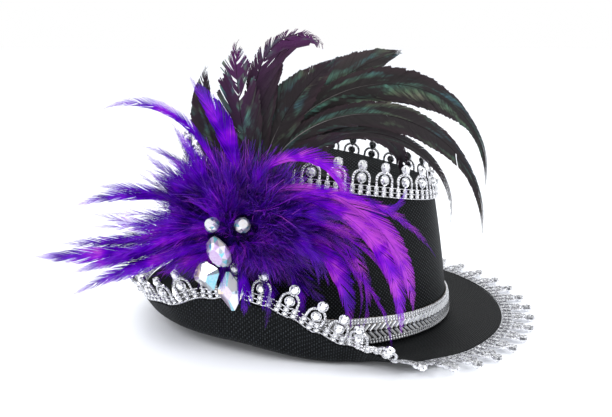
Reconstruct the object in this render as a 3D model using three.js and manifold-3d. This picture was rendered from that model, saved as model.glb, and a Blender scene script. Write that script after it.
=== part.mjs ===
// Carnival hat: a small woven trilby with pierced rhinestone trims, a rhinestone band, a purple plume,
// black cock tail feathers and five cut stones.
// Millimetres. +X is the front of the hat, +Y the wearer's left, +Z up, and the floor is z = 0.
// The origin is the middle of the head opening. Angles round the hat run from the front to the left.

import * as THREE from "three";
import { mergeVertices } from "three/addons/utils/BufferGeometryUtils.js";
import Module from "manifold-3d";

const wasm = await Module();
wasm.setup();

// Straw wall and the gap that neighbouring pieces keep
const WALL = 2;
const GAP = 0.4;

// Crown: half sizes at the foot and at the rim, and how the rim falls to the front
const FOOT = { length: 103, width: 83 };
const RIM = { length: 89, width: 60, pinch: 4, squareness: 0.25 };
const RIM_HEIGHT = { middle: 114.5, fall: 12.5, arch: 4.5 };
const WALL_BOW = 1.2;
const CROWN_SIDES = 32;

// The foot of the hat lifts towards the back, and it starts to lift further forward on the right
const KICK = { height: 8, starts: 19, skew: 31, over: 60 };

// Wall of the crown from foot to rim, then the dented top from the rim to its middle
const WALL_RISE = [0, 0.45, 0.8, 1];
const DENT = [
  { inset: 3, sink: -1 },
  { inset: 9, sink: 2.5 },
  { inset: 20, sink: 11 },
  { inset: 38, sink: 17 },
];
const DENT_DEPTH = 19;

// Brim, one row for each place round the hat: width of the straw, the flat stretch at the root,
// the angle that the edge is turned up by, and the stretch over which it rolls
const BRIM = [
  { at: 0, width: 39, flat: 8, turn: 3, roll: 20 },
  { at: 40, width: 39, flat: 8, turn: 4, roll: 20 },
  { at: 80, width: 38, flat: 8, turn: 35, roll: 18 },
  { at: 120, width: 33, flat: 6, turn: 60, roll: 18 },
  { at: 165, width: 26, flat: 5, turn: 58, roll: 16 },
  { at: 195, width: 25, flat: 5, turn: 58, roll: 16 },
  { at: 212, width: 30, flat: 4, turn: 68, roll: 17 },
  { at: 228, width: 38, flat: 4, turn: 90, roll: 18 },
  { at: 240, width: 42, flat: 4, turn: 92, roll: 18 },
  { at: 252, width: 42, flat: 5, turn: 92, roll: 18 },
  { at: 262, width: 39, flat: 6, turn: 90, roll: 17 },
  { at: 272, width: 34, flat: 7, turn: 86, roll: 17 },
  { at: 282, width: 31, flat: 9, turn: 74, roll: 17 },
  { at: 290, width: 34, flat: 10, turn: 48, roll: 18 },
  { at: 298, width: 37, flat: 9, turn: 22, roll: 20 },
  { at: 306, width: 39, flat: 8, turn: 12, roll: 20 },
  { at: 325, width: 39, flat: 8, turn: 5, roll: 20 },
];
const BRIM_SIDES = 48;
const BRIM_STEPS = 24;
const BRIM_RINGS = [0, 5, 10, 15, 24];

// Rhinestone band at the foot of the crown
const BAND = { foot: 4.5, height: 18.5, border: 4, thickness: 1.6, bead: 0.9 };

// Pierced trim, for each motif: a base strip, an arch that is cut through, and a cut stone on its top
const TRIM = { pitch: 17.2, base: 7, thickness: 2.2, reach: 16.4, half: 5.75, wire: 2.2, link: 1.8 };
const TRIM_STONE = { radius: 3.4, seat: 0.9, table: 0.6, height: 2.6, sides: 8 };
const CROWN_TRIM = { drop: 9, seat: 0.8 };
const BRIM_TRIM_SEAT = 1.2;

// Feathers start near the pad or the stem. heading: 0 to the front, 90 up; turn: how much it bends
// on its way; snap: how late it bends; lean: out from the hat.
// tail: how thin it gets past its middle; bias: how much wider it is on its right than on its left;
// late: above 1, its widest place is nearer to its tip.
const PAD = { x: -47, y: -80, z: 83.4, length: 25, depth: 21, height: 19.6 };
const PURPLE_ROOT = { x: -47, y: -86, z: 83 };
const PURPLE = [
  { x: -2, y: -6, z: 14, heading: 101, turn: 103, snap: 1.8, length: 112, width: 7, lean: 6, curl: 0 },
  { x: 4, y: -6, z: 12, heading: 88, turn: 40, snap: 1, length: 90, width: 13, lean: 4, curl: -6 },
  { x: -6, y: -4, z: 12, heading: 110, turn: 12, snap: 1, length: 66, width: 6, lean: 8, curl: 0 },
  { x: -6, y: 0, z: 12, heading: 116, turn: 50, snap: 1.2, length: 68, width: 5, lean: 2, curl: 0 },
  { x: -8, y: 0, z: 10, heading: 150, turn: 50, snap: 1.1, length: 93, width: 8, lean: 8, curl: -4 },
  { x: -8, y: 1, z: 8, heading: 147, turn: 30, snap: 1, length: 80, width: 8, lean: 10, curl: -4 },
  { x: -8, y: -2, z: 10, heading: 140, turn: 10, snap: 1, length: 51, width: 9, lean: 6, curl: 0 },
  { x: -8, y: -4, z: 0, heading: 193, turn: -16, snap: 1, length: 114, width: 12, lean: 10, curl: -6 },
  { x: -8, y: -2, z: 2, heading: 187, turn: -6, snap: 1, length: 100, width: 9, lean: 6, curl: -6 },
  { x: -8, y: -6, z: 0, heading: 193, turn: 14, snap: 1, length: 98, width: 8, lean: 12, curl: -4 },
  { x: -8, y: -8, z: 0, heading: 198, turn: 2, snap: 1, length: 80, width: 9, lean: 14, curl: -4 },
  { x: -8, y: -4, z: 2, heading: 192, turn: 4, snap: 1, length: 95, width: 8, lean: 10, curl: -4 },
  { x: 8, y: -2, z: 11, heading: 96, turn: -204, snap: 1.1, length: 110, width: 10, lean: 4, curl: 2 },
  { x: 8, y: -4, z: 16, heading: 66, turn: -150, snap: 0.6, length: 146, width: 12, lean: 6, curl: 8 },
  { x: 8, y: -5, z: 14, heading: 54, turn: -146, snap: 0.65, length: 146, width: 12, lean: 8, curl: 6 },
  { x: 6, y: -4, z: 8, heading: 22, turn: -108, snap: 0.65, length: 104, width: 12, lean: 6, curl: 2 },
  { x: 8, y: 2, z: 12, heading: 0, turn: 96, snap: 7, length: 106, width: 8, lean: 6, curl: -4 },
  { x: 2, y: -12, z: -8, heading: -78, turn: -12, snap: 1, length: 40, width: 10, lean: 12, curl: -6 },
];
const PURPLE_VANE = { thickness: 4.5, late: 1.6 };

const STEM = { x: -34, y: -72, z: 110, length: 9, depth: 8.3, height: 10 };
const BLACK = [
  { x: 0, y: -2, z: 2, heading: 152, turn: -78, snap: 1, length: 84, width: 18, lean: -2, curl: 0 },
  { x: 0, y: -3, z: 2, heading: 107, turn: -20, snap: 1, length: 88, width: 28, lean: 2, curl: 0 },
  {
    x: 1, y: 0, z: 3, heading: 95, turn: -150,
    snap: 3.2, length: 122, width: 24, lean: 0, curl: -10, bias: 0.5,
  },
  { x: 2, y: 0, z: 3, heading: 80, turn: -45, snap: 1, length: 92, width: 26, lean: -4, curl: -10 },
  { x: 3, y: 2, z: 3, heading: 69, turn: -58, snap: 1, length: 136, width: 27, lean: -12, curl: -20 },
  {
    x: 4, y: 2, z: 2, heading: 80, turn: -168,
    snap: 0.88, length: 256, width: 26, lean: -12, curl: -18, tail: 0.66, bias: 0.25,
  },
  {
    x: 4, y: 0, z: 0, heading: 83, turn: -170,
    snap: 0.72, length: 230, width: 20, lean: -8, curl: -10, tail: 0.55, bias: 0.2,
  },
  {
    x: 4, y: 1, z: 1, heading: 54, turn: -146,
    snap: 1, length: 194, width: 8, lean: -12, curl: -12, tail: 0.3,
  },
  { x: 4, y: 1, z: 1, heading: 46, turn: -154, snap: 1.7, length: 142, width: 15, lean: -13, curl: -18 },
  { x: 3, y: 0, z: -1, heading: 46, turn: -30, snap: 1, length: 66, width: 14, lean: -8, curl: 0 },
];
const BLACK_VANE = { thickness: 2.4, late: 1 };

// Where a feather is measured along its length, and its share of the full width there
const VANE = [
  { along: 0, share: 0.22 },
  { along: 0.22, share: 0.62 },
  { along: 0.45, share: 1 },
  { along: 0.68, share: 0.9 },
  { along: 0.87, share: 0.5 },
];
const TAIL = { starts: 0.5, over: 0.3 };
const PATH_STEPS = 46;

// Cut stones: where each sits on the pad or on the brim trim, its size, and its turn in its own plane
const ROUND_STONE = { radius: 5.2, sides: 10, girdle: 1.4, height: 5, table: 0.55 };
const DROP = { length: 26.5, width: 17, sides: 12, girdle: 1.6, height: 6, table: 0.5 };
const RHOMB = { corner: 0.12, girdle: 1.6, height: 5.5, table: 0.34 };
const PAD_STONES = [
  { name: "round_stone_left", shape: "round", x: -59.5, z: 91, seat: 0.3 },
  { name: "round_stone_right", shape: "round", x: -41.5, z: 91.5, seat: -0.5 },
  { name: "drop_crystal", shape: "drop", x: -56, z: 75.2, seat: 0.3 },
];
const TRIM_STONES = [
  { name: "square_crystal", at: 232.8, up: 17.5, turn: 7, width: 22, length: 25, seat: 0.3 },
  { name: "low_crystal", at: 239.6, up: 5.5, turn: 9, width: 20, length: 29, seat: 0.3 },
];

const FINISH = {
  straw: { color: 0x15181b, roughness: 0.75, metalness: 0 },
  silver: { color: 0xd9dade, roughness: 0.18, metalness: 1 },
  purple: { color: 0x3c0aa0, roughness: 0.7, metalness: 0 },
  black: { color: 0x16201d, roughness: 0.35, metalness: 0 },
  crystal: { color: 0xeaf2ff, roughness: 0.05, metalness: 0.2 },
};

const rad = THREE.MathUtils.degToRad;
const lerp = THREE.MathUtils.lerp;
const smooth = (t) => THREE.MathUtils.smoothstep(t, 0, 1);
const turns = (count) => Array.from({ length: count }, (_, i) => (i / count) * 2 * Math.PI);

// Closed surface through rings of points. A loop joins its last ring to its first; otherwise each end
// closes on its own pole.
function skin(rings, { loop = false, start, end } = {}) {
  const count = rings[0].length;
  const points = rings.flat();
  const faces = [];
  const rows = loop ? rings.length : rings.length - 1;
  for (let row = 0; row < rows; row += 1) {
    const next = (row + 1) % rings.length;
    for (let i = 0; i < count; i += 1) {
      const j = (i + 1) % count;
      const [a, b, c, d] = [row * count + i, row * count + j, next * count + j, next * count + i];
      faces.push(a, b, c, a, c, d);
    }
  }
  if (!loop) {
    const last = (rings.length - 1) * count;
    const low = points.push(start) - 1;
    const high = points.push(end) - 1;
    for (let i = 0; i < count; i += 1) {
      const j = (i + 1) % count;
      faces.push(low, j, i);
      faces.push(high, last + i, last + j);
    }
  }
  return solid(points, faces);
}

// Manifold solid from points and faces, with its faces turned out
function solid(points, faces) {
  let volume = 0;
  for (let i = 0; i < faces.length; i += 3) {
    const [a, b, c] = [points[faces[i]], points[faces[i + 1]], points[faces[i + 2]]];
    volume += new THREE.Vector3().crossVectors(a, b).dot(c);
  }
  const wound = volume > 0 ? faces : faces.slice().reverse();
  const vertProperties = new Float32Array(points.flatMap((p) => p.toArray()));
  const triVerts = new Uint32Array(wound);
  return new wasm.Manifold(new wasm.Mesh({ numProp: 3, vertProperties, triVerts }));
}

function mesh(name, body, finish) {
  const made = body.getMesh();
  const geometry = new THREE.BufferGeometry();
  geometry.setAttribute("position", new THREE.BufferAttribute(made.vertProperties, 3));
  geometry.setIndex(new THREE.BufferAttribute(made.triVerts, 1));
  geometry.computeVertexNormals();
  const node = new THREE.Mesh(geometry, new THREE.MeshStandardMaterial(FINISH[finish]));
  node.name = name;
  return node;
}

const join = (bodies) => bodies.reduce((whole, body) => whole.add(body));

// Outline of the hat at one angle: an oval whose power makes it squarer
function oval(angle, length, width, power = 2) {
  const reach = Math.abs(Math.cos(angle) / length) ** power + Math.abs(Math.sin(angle) / width) ** power;
  const radius = reach ** (-1 / power);
  return new THREE.Vector2(radius * Math.cos(angle), radius * Math.sin(angle));
}

function footHeight({ x, y }) {
  const starts = KICK.starts + (KICK.skew * y) / FOOT.width;
  return KICK.height * smooth((-x - starts) / KICK.over);
}

function rimHeight(x) {
  const along = x / RIM.length;
  return RIM_HEIGHT.middle - RIM_HEIGHT.fall * along - RIM_HEIGHT.arch * along ** 2;
}

// Point on the wall of the crown: rise 0 at the foot, 1 at the rim; out moves it off the wall
function wallPoint(angle, rise, out = 0) {
  const bow = rise ** WALL_BOW;
  const length = lerp(FOOT.length, RIM.length, bow) + out;
  const width = lerp(FOOT.width, RIM.width - RIM.pinch * Math.cos(angle), bow) + out;
  const flat = oval(angle, length, width, 2 + RIM.squareness * rise);
  const foot = footHeight(flat);
  return new THREE.Vector3(flat.x, flat.y, foot + rise * (rimHeight(flat.x) - foot));
}

// Point on the dented top, inset from the rim
function topPoint(angle, { inset, sink }, thickness = 0) {
  const width = RIM.width - RIM.pinch * Math.cos(angle) - inset;
  const flat = oval(angle, RIM.length - inset, width, 2 + RIM.squareness);
  return new THREE.Vector3(flat.x, flat.y, rimHeight(flat.x) - sink - thickness);
}

// Crown as the space that it fills, grown by out
function crownForm(out) {
  const angles = turns(CROWN_SIDES);
  const wall = WALL_RISE.map((rise) => angles.map((angle) => wallPoint(angle, rise, out)));
  const top = DENT.map((row) => angles.map((angle) => topPoint(angle, row, -out)));
  const start = new THREE.Vector3(0, 0, 0);
  const end = new THREE.Vector3(0, 0, rimHeight(0) - DENT_DEPTH + out);
  return skin([...wall, ...top], { start, end });
}

function makeCrown() {
  const angles = turns(CROWN_SIDES);
  const outer = WALL_RISE.map((rise) => angles.map((angle) => wallPoint(angle, rise)));
  const top = DENT.map((row) => angles.map((angle) => topPoint(angle, row)));
  const lining = DENT.map((row) => angles.map((angle) => topPoint(angle, row, WALL * 1.4))).reverse();
  const inner = WALL_RISE.slice(0, -1).map((rise) => angles.map((angle) => wallPoint(angle, rise, -WALL)));
  const start = new THREE.Vector3(0, 0, rimHeight(0) - DENT_DEPTH);
  const end = start.clone().setZ(start.z - WALL * 1.4);
  return skin([...top.reverse(), ...outer.reverse(), ...inner, ...lining.reverse()], { start, end });
}

// Row of the brim table at any angle, eased between its neighbours
function brimRow(angle) {
  const degrees = THREE.MathUtils.euclideanModulo(THREE.MathUtils.radToDeg(angle), 360);
  const rows = [...BRIM, { ...BRIM[0], at: 360 }];
  const next = rows.findIndex((row) => row.at > degrees);
  const [a, b] = [rows[next - 1], rows[next]];
  const t = smooth((degrees - a.at) / (b.at - a.at));
  const blend = (key) => lerp(a[key], b[key], t);
  return { width: blend("width"), flat: blend("flat"), turn: blend("turn"), roll: blend("roll") };
}

// Section of the brim at one angle, as steps of reach, height and slope along the straw
function brimSection(angle) {
  const { width, flat, turn, roll } = brimRow(angle);
  const slope = (run) => rad(turn) * smooth((run - flat) / roll);
  const step = width / BRIM_STEPS;
  const steps = [{ reach: 0, height: WALL / 2, slope: 0 }];
  for (let i = 1; i <= BRIM_STEPS; i += 1) {
    const last = steps[i - 1];
    const tilt = (slope(i * step) + slope((i - 1) * step)) / 2;
    const reach = last.reach + Math.cos(tilt) * step;
    const height = last.height + Math.sin(tilt) * step;
    steps.push({ reach, height, slope: slope(i * step) });
  }
  return steps;
}

// Frame on the brim: a point, the way on along the straw, and the way out of its underside
function brimFrame(angle, section, index) {
  const root = oval(angle, FOOT.length + GAP, FOOT.width + GAP);
  const away = new THREE.Vector2(root.x / FOOT.length ** 2, root.y / FOOT.width ** 2).normalize();
  const { reach, height, slope } = section[index];
  const [cos, sin] = [Math.cos(slope), Math.sin(slope)];
  return {
    point: new THREE.Vector3(root.x + away.x * reach, root.y + away.y * reach, height + footHeight(root)),
    up: new THREE.Vector3(away.x * cos, away.y * cos, sin),
    out: new THREE.Vector3(away.x * sin, away.y * sin, -cos),
  };
}

function makeBrim() {
  const angles = turns(BRIM_SIDES);
  const sections = angles.map(brimSection);
  const side = (index, offset) =>
    angles.map((angle, i) => {
      const frame = brimFrame(angle, sections[i], index);
      return frame.point.addScaledVector(frame.out, offset);
    });
  const upper = BRIM_RINGS.map((index) => side(index, -WALL / 2));
  const lower = BRIM_RINGS.map((index) => side(index, WALL / 2));
  return skin([...upper, ...lower.reverse()], { loop: true });
}

// Band: a flat field between two beaded borders
function makeBand() {
  const angles = turns(CROWN_SIDES);
  const { foot, height, border, thickness, bead } = BAND;
  const section = [
    { up: 0, out: 0 },
    { up: 0, out: thickness + bead },
    { up: border, out: thickness + bead },
    { up: border, out: thickness },
    { up: height - border, out: thickness },
    { up: height - border, out: thickness + bead },
    { up: height, out: thickness + bead },
    { up: height, out: 0 },
  ];
  const ring = ({ up, out }) =>
    angles.map((angle) => wallPoint(angle, (foot + up) / RIM_HEIGHT.middle, GAP + out));
  return skin(section.map(ring), { loop: true });
}

const brimEdge = (angle) => {
  const frame = brimFrame(angle, brimSection(angle), BRIM_STEPS);
  frame.point.addScaledVector(frame.up, BRIM_TRIM_SEAT);
  return frame;
};

const crownEdge = (angle) => {
  const below = wallPoint(angle, 0.9);
  const rim = wallPoint(angle, 1);
  const up = rim.clone().sub(below).normalize();
  const along = wallPoint(angle + 0.02, 1).sub(wallPoint(angle - 0.02, 1));
  const out = along.cross(up).normalize();
  const point = rim.addScaledVector(up, -CROWN_TRIM.drop);
  point.addScaledVector(out, CROWN_TRIM.seat + TRIM.thickness / 2);
  return { point, up, out };
};

// Frame on an edge, squared to the way that the edge runs
function squared(edge, angle) {
  const along = edge(angle + 0.01).point.sub(edge(angle - 0.01).point).normalize();
  const { point, up } = edge(angle);
  up.addScaledVector(along, -up.dot(along)).normalize();
  return { point, up, out: along.cross(up) };
}

// Ruler along a closed edge: its length, and the frame at any run along it
function rulerAlong(edge) {
  const angles = turns(720).concat(2 * Math.PI);
  const points = angles.map((angle) => edge(angle).point);
  const run = [0];
  for (let i = 1; i < angles.length; i += 1) run.push(run[i - 1] + points[i].distanceTo(points[i - 1]));
  const length = run[run.length - 1];
  const frameAt = (distance) => {
    const want = THREE.MathUtils.euclideanModulo(distance, length);
    const next = Math.max(1, run.findIndex((r) => r > want));
    const share = (want - run[next - 1]) / (run[next] - run[next - 1]);
    return squared(edge, lerp(angles[next - 1], angles[next], share));
  };
  return { length, frameAt };
}

const place = ({ point, up, out }, along, x, y, z) =>
  point.clone().addScaledVector(along, x).addScaledVector(up, y).addScaledVector(out, z);

// Flat outline of one motif: the strip and its arch, the gap under the arch, and the stone
function motifOutline(step) {
  const { base, half, wire, reach, link } = TRIM;
  const rise = reach - base;
  const outer = half + wire / 2;
  const inner = half - wire / 2;
  const spot = (x, y) => new THREE.Vector2(x, y);
  const shoulder = (side) => spot(side * outer * 0.78, base + rise * 0.7);
  const haunch = (side) => spot(side * inner * 0.5, reach - link);
  const { radius, seat, sides } = TRIM_STONE;
  const stone = turns(sides).map((t) =>
    spot(Math.cos(t) * radius, reach + radius * seat + Math.sin(t) * radius));
  const foot = [spot(-step / 2, 0), spot(step / 2, 0)];
  const right = [spot(step / 2, base), spot(outer, base), shoulder(1)];
  const left = [shoulder(-1), spot(-outer, base), spot(-step / 2, base)];
  const plate = [...foot, ...right, stone[7], stone[6], stone[5], ...left];
  const sill = base + wire / 4;
  const gap = [spot(-inner, sill), haunch(-1), haunch(1), spot(inner, sill)];
  const crest = [...right, stone[7], ...stone.slice(0, 6), ...left];
  return { plate, gap, stone, walls: [foot, crest, [...gap, gap[0]]] };
}

// Faces of one motif on the flat: triangles of [point, height off the middle of the strip]
function motifFaces(step) {
  const { plate, gap, stone, walls } = motifOutline(step);
  const half = TRIM.thickness / 2;
  const faces = [];
  const points = [...plate, ...gap];
  for (const face of THREE.ShapeUtils.triangulateShape(plate, [gap])) {
    const [a, b, c] = face.map((i) => points[i]);
    const [p, q] = THREE.ShapeUtils.isClockWise([a, b, c]) ? [c, b] : [b, c];
    faces.push([[a, half], [p, half], [q, half]]);
    faces.push([[a, -half], [q, -half], [p, -half]]);
  }
  const centre = new THREE.Vector2(0, TRIM.reach + TRIM_STONE.radius * TRIM_STONE.seat);
  const table = stone.map((p) => p.clone().lerp(centre, 1 - TRIM_STONE.table));
  const top = TRIM_STONE.height;
  stone.forEach((p, i) => {
    const j = (i + 1) % stone.length;
    faces.push([[p, half], [stone[j], half], [table[j], top]]);
    faces.push([[p, half], [table[j], top], [table[i], top]]);
    if (i > 0 && j > 0) {
      faces.push([[table[0], top], [table[i], top], [table[j], top]]);
      faces.push([[stone[0], -half], [stone[j], -half], [p, -half]]);
    }
  });
  for (const wall of walls) {
    for (let i = 1; i < wall.length; i += 1) {
      const [p, q] = [wall[i - 1], wall[i]];
      faces.push([[p, -half], [q, -half], [q, half]]);
      faces.push([[p, -half], [q, half], [p, half]]);
    }
  }
  return faces;
}

// Trim: motifs bent along a closed edge and welded into one strip
function makeTrim(edge) {
  const ruler = rulerAlong(edge);
  const count = Math.round(ruler.length / TRIM.pitch);
  const step = ruler.length / count;
  const faces = motifFaces(step);
  const positions = [];
  for (let i = 0; i < count; i += 1) {
    for (const [flat, height] of faces.flat()) {
      const { point, up, out } = ruler.frameAt((i + 0.5) * step + flat.x);
      positions.push(...point.addScaledVector(up, flat.y).addScaledVector(out, height).toArray());
    }
  }
  const soup = new THREE.BufferGeometry();
  soup.setAttribute("position", new THREE.Float32BufferAttribute(positions, 3));
  const welded = mergeVertices(soup, 0.01);
  const place = welded.getAttribute("position");
  const pointAt = (_, i) => new THREE.Vector3().fromBufferAttribute(place, i);
  const points = Array.from({ length: place.count }, pointAt);
  return solid(points, Array.from(welded.getIndex().array));
}

// Line of a feather from its root, with the way that it runs at each step
function featherLine(root, row) {
  const point = new THREE.Vector3(root.x + row.x, root.y + row.y, root.z + row.z);
  const step = row.length / PATH_STEPS;
  const line = [];
  for (let i = 0; i <= PATH_STEPS; i += 1) {
    const along = (i + 0.5) / PATH_STEPS;
    const heading = rad(row.heading + row.turn * along ** row.snap);
    const lean = rad(row.lean + row.curl * along);
    const way = new THREE.Vector3(
      Math.cos(heading) * Math.cos(lean), -Math.sin(lean), Math.sin(heading) * Math.cos(lean));
    line.push({ point: point.clone(), way });
    point.addScaledVector(way, step);
  }
  return line;
}

// One lock: a lens-shaped blade along the line of its feather
function makeLock(root, row, { thickness, late }) {
  const line = featherLine(root, row);
  const face = new THREE.Vector3(0, -1, 0);
  const { tail = 0, bias = 0 } = row;
  const rings = VANE.map(({ along, share: full }) => {
    const { point, way } = line[Math.round(along ** (1 / late) * PATH_STEPS)];
    const share = full * (1 - tail * smooth((along - TAIL.starts) / TAIL.over));
    const side = way.clone().cross(face).normalize();
    const front = side.clone().cross(way).normalize();
    const half = (row.width * share) / 2;
    const thick = (thickness * Math.sqrt(share)) / 2;
    return [[half * (1 + bias), 0], [0, thick], [half * (bias - 1), 0], [0, -thick]].map(([x, y]) =>
      point.clone().addScaledVector(side, x).addScaledVector(front, y));
  });
  return skin(rings, { start: line[0].point, end: line[PATH_STEPS].point });
}

function ball({ x, y, z, length, depth, height }, grow = 0) {
  const sides = 12;
  const rows = 7;
  const rings = [];
  const spot = (tilt, turn) => new THREE.Vector3(
    x + (length + grow) * Math.cos(tilt) * Math.cos(turn),
    y + (depth + grow) * Math.cos(tilt) * Math.sin(turn),
    z + (height + grow) * Math.sin(tilt));
  for (let i = 1; i < rows; i += 1) {
    const tilt = (i / rows - 0.5) * Math.PI;
    rings.push(turns(sides).map((turn) => spot(tilt, turn)));
  }
  return skin(rings, { start: spot(-Math.PI / 2, 0), end: spot(Math.PI / 2, 0) });
}

function makePurplePlume() {
  const locks = PURPLE.map((row) => makeLock(PURPLE_ROOT, row, PURPLE_VANE));
  return join([ball(PAD), ...locks]).subtract(crownForm(GAP * 2));
}

function makeBlackPlume() {
  const locks = BLACK.map((row) => makeLock(STEM, row, BLACK_VANE));
  return join([ball(STEM), ...locks]);
}

// Cut stone on a flat back: outline, girdle, crown facets and table
function cutStone(outline, { girdle, height, table }, frame) {
  const along = frame.up.clone().cross(frame.out).normalize();
  const ring = (scale, z) => outline.map((p) => place(frame, along, p.x * scale, p.y * scale, z));
  return skin([ring(0.94, 0), ring(1, girdle), ring(table, height)], {
    start: place(frame, along, 0, 0, 0),
    end: place(frame, along, 0, 0, height),
  });
}

const roundOutline = () =>
  turns(ROUND_STONE.sides).map((t) => new THREE.Vector2(Math.cos(t), Math.sin(t))
    .multiplyScalar(ROUND_STONE.radius));

// Drop: round below, drawn to a point above
const dropOutline = () =>
  turns(DROP.sides).map((t) => {
    const taper = 1 - 0.55 * Math.max(0, Math.sin(t)) ** 2;
    return new THREE.Vector2((Math.cos(t) * DROP.width * taper) / 2, (Math.sin(t) * DROP.length) / 2);
  });

// Rhomb with its corners cut, turned in its own plane
function rhombOutline({ width, length, turn }) {
  const corners = [[width, 0], [0, length], [-width, 0], [0, -length]].map(([x, y]) =>
    new THREE.Vector2(x / 2, y / 2).rotateAround(new THREE.Vector2(), rad(turn)));
  return corners.flatMap((corner, i) => [
    corner.clone().lerp(corners[(i + 3) % 4], RHOMB.corner),
    corner.clone().lerp(corners[(i + 1) % 4], RHOMB.corner),
  ]);
}

// Frame on the outer side of the pad
function padFrame({ x, z, seat }) {
  const across = (x - PAD.x) / PAD.length;
  const rise = (z - PAD.z) / PAD.height;
  const y = PAD.y - PAD.depth * Math.sqrt(1 - across ** 2 - rise ** 2);
  const out = new THREE.Vector3(
    across / PAD.length, (y - PAD.y) / PAD.depth ** 2, rise / PAD.height).normalize();
  const up = new THREE.Vector3(0, 0, 1).addScaledVector(out, -out.z).normalize();
  return { point: new THREE.Vector3(x, y, z).addScaledVector(out, seat), up, out };
}

function makePadStone(row) {
  const frame = padFrame(row);
  return row.shape === "round"
    ? cutStone(roundOutline(), ROUND_STONE, frame)
    : cutStone(dropOutline(), DROP, frame);
}

function makeTrimStone(row) {
  const frame = squared(brimEdge, rad(row.at));
  frame.point.addScaledVector(frame.up, row.up).addScaledVector(frame.out, TRIM_STONE.height + row.seat);
  return cutStone(rhombOutline(row), RHOMB, frame);
}

const hat = new THREE.Group();
hat.name = "carnival_hat";
hat.add(mesh("crown", makeCrown(), "straw"));
hat.add(mesh("brim", makeBrim(), "straw"));
hat.add(mesh("hat_band", makeBand(), "silver"));
hat.add(mesh("crown_trim", makeTrim(crownEdge), "silver"));
hat.add(mesh("brim_trim", makeTrim(brimEdge), "silver"));
hat.add(mesh("purple_plume", makePurplePlume(), "purple"));
hat.add(mesh("black_plume", makeBlackPlume(), "black"));
for (const row of PAD_STONES) hat.add(mesh(row.name, makePadStone(row), "crystal"));
for (const row of TRIM_STONES) hat.add(mesh(row.name, makeTrimStone(row), "crystal"));

export default hat;
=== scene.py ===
import math
import random

import bmesh
import bpy
from mathutils import Matrix, Vector


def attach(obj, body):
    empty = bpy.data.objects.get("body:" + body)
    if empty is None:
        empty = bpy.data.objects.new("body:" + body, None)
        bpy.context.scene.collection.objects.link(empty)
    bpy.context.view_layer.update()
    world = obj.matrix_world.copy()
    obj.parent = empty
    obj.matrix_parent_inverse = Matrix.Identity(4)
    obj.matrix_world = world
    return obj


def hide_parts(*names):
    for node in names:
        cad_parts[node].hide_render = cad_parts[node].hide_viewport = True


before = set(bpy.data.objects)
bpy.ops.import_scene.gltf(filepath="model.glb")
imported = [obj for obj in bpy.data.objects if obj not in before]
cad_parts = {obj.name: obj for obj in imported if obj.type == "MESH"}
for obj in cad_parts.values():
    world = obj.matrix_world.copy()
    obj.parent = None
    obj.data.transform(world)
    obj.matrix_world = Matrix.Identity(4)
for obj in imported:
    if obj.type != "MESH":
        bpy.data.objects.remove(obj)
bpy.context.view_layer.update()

# Sizes are in millimetres until a mesh is made. +X is the front of the hat, +Y the wearer's left.
MM = 0.001
TAU = 2 * math.pi

# Small steps round the hat and up its wall, which show the way that a line runs
TURN_STEP = 0.01
RISE_STEP = 0.02
RIM_STEP = 0.1

# Corners of a square
SQUARE = ((1, 1), (-1, 1), (-1, -1), (1, -1))

# Camera of the photograph
CAMERA = {"place": (0.0, -519.9, 209.5), "pitch": 75.7, "yaw": 0.4, "sensor": 36.0, "lens": 42.47}

# Straw of the crown and brim. KICK lifts the foot towards the back; CREASE slants up the wall, and its place
# and width are in degrees round the hat.
WALL = 2.0
GAP = 0.4
FOOT = {"length": 103.0, "width": 83.0}
RIM = {"length": 89.0, "width": 60.0, "pinch": 4.0, "squareness": 0.25}
RIM_HEIGHT = {"middle": 114.5, "fall": 12.5, "arch": 4.5}
WALL_BOW = 1.2
KICK = {"height": 8.0, "starts": 19.0, "skew": 31.0, "over": 60.0}
CREASE = {"foot": 330, "top": 292, "width": 9, "depth": 2.2}
CROWN = {"sides": 192, "rows": 34, "girth": 0.56, "top_wall": 1.4}

# Dent: its sink at each inset from the rim, the insets of its rings, and the shares of the last ring that
# step in over its floor
DENT = [(0, 0), (3, -1), (9, 2.5), (20, 11), (38, 17)]
DENT_DEPTH = 19.0
DENT_EASE = 0.5
DENT_INSETS = (0.4, 1.2, 2.2, 3.4, 5, 7, 9, 11, 13, 15, 17, 19, 21, 24, 27, 30, 34, 38)
DENT_FLOOR = (0.84, 0.66, 0.46, 0.24)

# Brim: its shape at places round the hat, in degrees
BRIM_COLUMNS = ("at", "width", "flat", "turn", "roll")
BRIM = [
    (0, 39, 8, 3, 20),
    (40, 39, 8, 4, 20),
    (80, 38, 8, 35, 18),
    (120, 33, 6, 60, 18),
    (165, 26, 5, 58, 16),
    (195, 25, 5, 58, 16),
    (212, 30, 4, 68, 17),
    (228, 38, 4, 90, 18),
    (240, 42, 4, 92, 18),
    (252, 42, 5, 92, 18),
    (262, 39, 6, 90, 17),
    (272, 34, 7, 86, 17),
    (282, 31, 9, 74, 17),
    (290, 34, 10, 48, 18),
    (298, 37, 9, 22, 20),
    (306, 39, 8, 12, 20),
    (325, 39, 8, 5, 20),
    (360, 39, 8, 3, 20),
]
BRIM_STEPS = 24
BRIM_SKIN = {"sides": 288, "steps": 44, "girth": 0.72, "reach": 0.038}

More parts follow.
